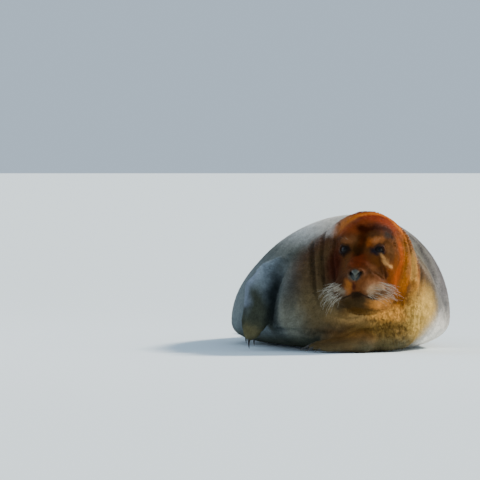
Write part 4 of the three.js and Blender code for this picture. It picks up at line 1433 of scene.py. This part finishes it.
# %% The tree that grows it
def named(tree, name, kind="FLOAT"):
    return node(tree, "GeometryNodeInputNamedAttribute", {"Name": name}, data_type=kind).outputs[0]


def random_between(tree, low, high, seed):
    """A random number for each point, the same on every run."""
    made = node(tree, "FunctionNodeRandomValue", {2: low, 3: high, "Seed": seed}, data_type="FLOAT")
    return made.outputs[1]


def stored(tree, geometry, name, value, kind="FLOAT", domain="POINT"):
    made = node(tree, "GeometryNodeStoreNamedAttribute", {"Geometry": geometry, "Name": name, 3: value},
                data_type=kind, domain=domain)
    return made.outputs[0]


tufts = group_of(
    "coat_of_tufts", "GeometryNodeTree",
    [("Bed", "NodeSocketGeometry", None), ("Tuft", "NodeSocketObject", None),
     ("Thickness", "NodeSocketFloat", 1.0), ("Longest", "NodeSocketFloat", 1.2),
     ("Shortest", "NodeSocketFloat", 0.75), ("Wander", "NodeSocketFloat", 0.24),
     ("Stand", "NodeSocketFloat", 0.06), ("Patch", "NodeSocketFloat", 0.003), ("Seed", "NodeSocketInt", 1),
     ("Finish", "NodeSocketMaterial", None)],
    [("Coat", "NodeSocketGeometry")],
)
TONE_SEED, WANDER_SEED, RISE_SEED, SIZE_SEED = 5, 6, 7, 8
takes = node(tufts, "NodeGroupInput").outputs
density = math_node(tufts, "MULTIPLY", named(tufts, "tufts_per_m2"), takes["Thickness"])
roots = node(tufts, "GeometryNodeDistributePointsOnFaces",
             {"Mesh": takes["Bed"], "Density": density, "Seed": takes["Seed"]}, distribute_method="RANDOM")
points = stored(tufts, roots.outputs["Points"], "skin_out", roots.outputs["Normal"], "FLOAT_VECTOR")
points = stored(tufts, points, "tone", random_between(tufts, 0.84, 1.16, TONE_SEED))
wander = node(tufts, "FunctionNodeRandomValue", {0: (-1, -1, -1), 1: (1, 1, 1), "Seed": WANDER_SEED},
              data_type="FLOAT_VECTOR")
strayed = scaled(tufts, wander.outputs[0], takes["Wander"])
towards = added(tufts, named(tufts, "lie", "FLOAT_VECTOR"), strayed)
standing = node(tufts, "FunctionNodeAlignRotationToVector", {"Vector": roots.outputs["Normal"]}, axis="Z")
lying = node(tufts, "FunctionNodeAlignRotationToVector",
             {"Rotation": standing.outputs[0], "Vector": towards}, axis="X", pivot_axis="Z")
raise_by = math_node(tufts, "MULTIPLY", random_between(tufts, -1.6, 0.6, RISE_SEED), takes["Stand"])
tip_up = node(tufts, "ShaderNodeCombineXYZ", {"Y": raise_by})
tip_up = node(tufts, "FunctionNodeEulerToRotation", {"Euler": tip_up.outputs[0]})
raised = node(tufts, "FunctionNodeRotateRotation",
              {"Rotation": lying.outputs[0], "Rotate By": tip_up.outputs[0]}, rotation_space="LOCAL")
spread = random_between(tufts, takes["Shortest"], takes["Longest"], SIZE_SEED)
size = math_node(tufts, "MULTIPLY", named(tufts, "hair_length"), spread)
all_ways = node(tufts, "ShaderNodeCombineXYZ", {"X": size, "Y": size, "Z": size})
pattern = node(tufts, "GeometryNodeObjectInfo", {"Object": takes["Tuft"]})
placed = node(tufts, "GeometryNodeInstanceOnPoints",
              {"Points": points, "Rotation": raised.outputs[0], "Instance": pattern.outputs["Geometry"],
               "Scale": all_ways.outputs[0]})
real = node(tufts, "GeometryNodeRealizeInstances", {"Geometry": placed.outputs[0]})
own_patch = scaled(tufts, named(tufts, "patch", "FLOAT_VECTOR"), takes["Patch"])
map_place = added(tufts, named(tufts, "unwrap", "FLOAT_VECTOR"), own_patch)
mapped = stored(tufts, real.outputs[0], "OFBake", map_place, "FLOAT2", "CORNER")
dressed = node(tufts, "GeometryNodeSetMaterial", {"Geometry": mapped, "Material": takes["Finish"]})
node(tufts, "NodeGroupOutput", {"Coat": dressed.outputs[0]})
print("tuft tree of", len(tufts.nodes), "nodes")


def grown(bed, tree, name, **values):
    """What a tree makes of an object, as a plain mesh."""
    modifier = bed.modifiers.new(name, "NODES")
    modifier.node_group = tree
    for item in tree.interface.items_tree:
        if item.in_out == "INPUT" and item.name in values:
            modifier[item.identifier] = values[item.name]
    bpy.context.view_layer.update()
    evaluated = bed.evaluated_get(bpy.context.evaluated_depsgraph_get())
    mesh = bpy.data.meshes.new_from_object(evaluated)
    bed.modifiers.clear()
    mesh.name = name
    return mesh


# %% Regions of the coat, each with its own unwrap
COVER = 1.3  # how many tufts lie over each point
BLADE_SHARE = 0.3  # a tuft's width as a part of its length
BODY_PARTS = (  # where each begins and ends along the body
    (-2000, -640, "chest"), (-640, -380, "shoulder"), (-380, 0, "trunk"), (0, 480, "flank"),
    (480, 2000, "hip"),
)


def region_of(p, hands):
    """The name of the coat's region that each point is in."""
    q = into_head(p)
    name = np.full(len(p), "", dtype="<U20")
    y = p[:, 1]
    side = np.where(p[:, 0] > middle_at(y), "_left", "_right")
    for start, end, part in BODY_PARTS:
        here = (y >= start) & (y < end)
        name[here] = np.char.add(part, side[here])
    neck = np.linalg.norm((q - (0, 100, -70)) / (1, 1, 0.95), axis=1) < 205
    neck_side = np.where(q[:, 0] > 0, "neck_left", "neck_right")
    name[neck] = neck_side[neck]
    head = np.linalg.norm(q - (0, 50, -10), axis=1) < 128
    name[head] = "head"
    face = np.linalg.norm((q - (0, -50, -90)) / (1, 1, 0.9), axis=1) < 92
    name[face] = "face"
    hand = hands.max(1) > 0.5
    name[hand] = np.array(list(LIMBS))[hands[hand].argmax(1)]
    return name


def charted(name, p, out):
    """Where points of a region fall on its unwrap, from 0 to 1. A flipper's two sides lie apart."""
    q = into_head(p)
    if name in LIMBS:
        limb = LIMBS[name]
        flat = (p - limb["wrist"]) @ limb["axes"]
        back = out @ limb["axes"][:, 2] > 0
        places = np.column_stack([flat[:, 0], flat[:, 1] + np.where(back, 400, 0)])
    elif name.startswith(("head", "face")):
        middle = np.array((0, 60, -40) if name == "head" else (0, 30, -90))
        d = (q - middle) / np.linalg.norm(q - middle, axis=1)[:, None]
        off = np.arccos(np.clip(-d[:, 1], -1, 1))
        turn = np.arctan2(d[:, 2], d[:, 0])
        places = np.column_stack([off * np.cos(turn), off * np.sin(turn)])
    elif name.startswith("neck"):
        turn = np.arctan2(q[:, 2] + 60, np.abs(q[:, 0]))
        places = np.column_stack([q[:, 1] * 0.006, turn])
    else:
        turn = np.arctan2(p[:, 2] - level_at(p[:, 1]), np.abs(p[:, 0] - middle_at(p[:, 1])))
        places = np.column_stack([p[:, 1], turn])
    low, high = places.min(0), places.max(0)
    return 0.02 + 0.95 * (places - low) / (high - low)


print("regions: face, head, two of neck,", 2 * len(BODY_PARTS), "of body and", len(LIMBS), "flippers")

# %% Cut the beds
loops = np.zeros(len(skin_mesh.loops), np.int32)
skin_mesh.loops.foreach_get("vertex_index", loops)
sizes = np.zeros(len(skin_mesh.polygons), np.int32)
skin_mesh.polygons.foreach_get("loop_total", sizes)
starts = np.concatenate([[0], np.cumsum(sizes)[:-1]])
middles = np.add.reduceat(places[loops], starts) / sizes[:, None]
outs = np.zeros(len(sizes) * 3, np.float32)
skin_mesh.polygons.foreach_get("normal", outs)
outs = outs.reshape(-1, 3)
tufts_per_m2 = COVER / (BLADE_SHARE * (length / 1000) ** 2)
hairless = np.maximum(bare * 1.4, soft_step((14 - places[:, 2]) / 8))
tufts_per_m2 *= np.clip(1 - hairless, 0, 1)
regions = region_of(middles, on_flippers(middles))
print("tufts per square metre: at most", round(tufts_per_m2.max()))


def bed_of(name):
    """The faces of one region as an object, with all that the tree reads."""
    chosen = np.flatnonzero(regions == name)
    if name == "head" or name == "face":
        chosen = chosen[sizes[chosen] < 9]
    corners = np.concatenate([np.arange(starts[f], starts[f] + sizes[f]) for f in chosen])
    used, again = np.unique(loops[corners], return_inverse=True)
    cuts = np.cumsum(sizes[chosen])[:-1]
    mesh = bpy.data.meshes.new("bed")
    mesh.from_pydata((places[used] / 1000).tolist(), [], [f.tolist() for f in np.split(again, cuts)])
    lay(mesh, "coat_colour", "FLOAT_COLOR", np.column_stack([coat_colour[used], np.ones(len(used))]))
    lay(mesh, "lie", "FLOAT_VECTOR", lie[used])
    lay(mesh, "hair_length", "FLOAT", length[used] / 1000)
    lay(mesh, "soaked", "FLOAT", soaked[used])
    lay(mesh, "tufts_per_m2", "FLOAT", tufts_per_m2[used])
    unwrap = charted(name, places[loops[corners]], np.repeat(outs[chosen], sizes[chosen], axis=0))
    lay(mesh, "unwrap", "FLOAT_VECTOR", np.column_stack([unwrap, np.zeros(len(unwrap))]), "CORNER")
    mesh.shade_smooth()
    return in_scene("bed_" + name, mesh)


SOAKED_WAYS = {"Tuft": wet_tuft, "Wander": 0.5, "Stand": 0.14}
coat_triangles = 0
for seed, name in enumerate(sorted(set(regions.tolist()))):
    bed = bed_of(name)
    ways = SOAKED_WAYS if name == "chest_left" else {"Tuft": short_tuft}
    mesh = grown(bed, tufts, "coat_" + name, Seed=seed + 11, Finish=coat_finish, **ways)
    triangles = sum(len(f.vertices) - 2 for f in mesh.polygons)
    print(name, triangles // 9, "tufts")
    coat_triangles += triangles
    slot = "face" if name in ("head", "face") else "flipper" if name in LIMBS else "coat"
    new_piece("coat_" + name, mesh, slot)
    bpy.data.objects.remove(bed)
print("coat of", coat_triangles, "triangles")

# %% [markdown]
# ## Whiskers
# The species is named for its beard: a hundred or so long, pale whiskers in rows on each pad, which
# curl at their tips when dry and droop when wet, with a few finer ones over each eye. Here each pad
# has 80. Each whisker is a curve that a Geometry Nodes tree bends by its own length and way, then
# skins with a tapering section. The rows are laid on the pads first, as points that carry which way
# each whisker leaves and its length.

# %% Where the whiskers grow
WHISKER_ROWS = 8
WHISKERS_IN_ROW = 10
PAD_END = 80  # how far out from the middle of the face the rows reach
BEARD_RADIUS = 0.40
BROW_WHISKERS = 3
BROW_RADIUS = 0.1
rng = np.random.default_rng(7)
roots, ways, lengths, bends, thick = [], [], [], [], []
for side in (1, -1):
    for row in range(WHISKER_ROWS):
        down = row / (WHISKER_ROWS - 1)
        for n in range(WHISKERS_IN_ROW):
            first = 30 + 28 * (1 - down) if side > 0 else 44
            x = first + (PAD_END - first) * (n + 0.5 * (row % 2)) / WHISKERS_IN_ROW
            out = (x - 16) / 62
            root = np.array((side * x, -74 + 62 * out**1.7 + 8 * down, -98 - 32 * down - 4 * out))
            root += rng.uniform(-1.5, 1.5, 3)
            drop = 0.45 if side > 0 else 1.0
            way = np.array((side * (0.6 + 1.3 * out), -0.8 + 0.4 * out, -(0.2 + 0.5 * down) * drop))
            roots.append(root)
            ways.append(way + rng.uniform(-0.2, 0.2, 3))
            lengths.append((16 + 44 * out**0.8) * rng.uniform(0.5, 1.2) * (1 - 0.12 * down))
            bends.append((side * -0.2 * rng.uniform(-0.3, 2.5), 0.25, -0.45 * rng.uniform(-0.2, 1.6) * drop))
            thick.append(BEARD_RADIUS * rng.uniform(0.7, 1.2))
    for n in range(BROW_WHISKERS):
        roots.append(np.array((side * (40 + 5 * n), -8 + 3 * n, 31 + 3 * (n % 2))))
        ways.append(np.array((side * (0.2 + 0.15 * n), -0.5, 0.9)) + rng.uniform(-0.1, 0.1, 3))
        lengths.append(13 + 3 * n)
        bends.append((side * 0.15, 0.1, -0.2))
        thick.append(BROW_RADIUS)
on_skin = settled(outside_skin, from_head(roots), 5, 10)
ways = np.array(ways) / np.linalg.norm(ways, axis=1)[:, None]
whisker_roots = bpy.data.meshes.new("whisker_roots")
whisker_roots.from_pydata((on_skin / 1000).tolist(), [], [])
lay(whisker_roots, "root", "FLOAT_VECTOR", on_skin / 1000)
lay(whisker_roots, "way", "FLOAT_VECTOR", ways @ head_axes.T)
lay(whisker_roots, "long", "FLOAT", np.array(lengths) / 1000)
lay(whisker_roots, "bend", "FLOAT_VECTOR", np.array(bends) @ head_axes.T)
lay(whisker_roots, "thick", "FLOAT", np.array(thick) / 1000)
print(len(roots), "whiskers")

# %% Grow the whiskers
whisker_finish, tree, shader = new_material("whisker")
pale = ramp(tree, attribute(tree, "up_whisker"), (0, (0.20, 0.14, 0.08)), (0.25, (0.46, 0.42, 0.33)))
bands = noise(tree, node(tree, "ShaderNodeTexCoord").outputs["Object"], 90.0, 2.0)
wire(tree, shader, {"Base Color": scaled(tree, pale, ranged(tree, bands, 0.65, 1.3)), "Roughness": 0.36})

beard = group_of(
    "beard", "GeometryNodeTree",
    [("Roots", "NodeSocketGeometry", None), ("Steps", "NodeSocketInt", 14), ("Sides", "NodeSocketInt", 6),
     ("Tip", "NodeSocketFloat", 0.3), ("Finish", "NodeSocketMaterial", None)],
    [("Whiskers", "NodeSocketGeometry")],
)
takes = node(beard, "NodeGroupInput").outputs
points = node(beard, "GeometryNodeMeshToPoints", {"Mesh": takes["Roots"]}).outputs[0]
line = node(beard, "GeometryNodeCurvePrimitiveLine", {"End": (0.0, 0.0, 0.001)})
steps = node(beard, "GeometryNodeResampleCurve", {"Curve": line.outputs[0], "Count": takes["Steps"]})
placed = node(beard, "GeometryNodeInstanceOnPoints", {"Points": points, "Instance": steps.outputs[0]})
curves = node(beard, "GeometryNodeRealizeInstances", {"Geometry": placed.outputs[0]}).outputs[0]
t = node(beard, "GeometryNodeSplineParameter").outputs["Factor"]
reach = math_node(beard, "MULTIPLY", t, named(beard, "long"))
straight = scaled(beard, named(beard, "way", "FLOAT_VECTOR"), reach)
bent = scaled(beard, named(beard, "bend", "FLOAT_VECTOR"), math_node(beard, "MULTIPLY", t, reach))
place = added(beard, added(beard, straight, bent), named(beard, "root", "FLOAT_VECTOR"))
moved = node(beard, "GeometryNodeSetPosition", {"Geometry": curves, "Position": place}).outputs[0]
marked = stored(beard, moved, "up_whisker", t)
radius = math_node(beard, "MULTIPLY", ranged(beard, t, 1.0, takes["Tip"]), named(beard, "thick"))
section = node(beard, "GeometryNodeCurvePrimitiveCircle", {"Resolution": takes["Sides"], "Radius": 1.0})
tubes = node(beard, "GeometryNodeCurveToMesh", {"Curve": marked, "Profile Curve": section.outputs[0],
                                                "Scale": radius, "Fill Caps": True})
dressed = node(beard, "GeometryNodeSetMaterial", {"Geometry": tubes.outputs[0], "Material": takes["Finish"]})
node(beard, "NodeGroupOutput", {"Whiskers": dressed.outputs[0]})
bed = in_scene("whisker_roots", whisker_roots)
mesh = grown(bed, beard, "whiskers", Finish=whisker_finish)
mesh.shade_smooth()
new_piece("whiskers", mesh, "claw")
bpy.data.objects.remove(bed)
print("whiskers of", sum(len(f.vertices) - 2 for f in mesh.polygons), "triangles")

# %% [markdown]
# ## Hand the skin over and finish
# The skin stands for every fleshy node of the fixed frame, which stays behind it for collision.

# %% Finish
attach(skin, "root")
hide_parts(*[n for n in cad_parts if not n.startswith(("eye", "claw"))])
for spare in (short_tuft, wet_tuft):
    bpy.data.objects.remove(spare)
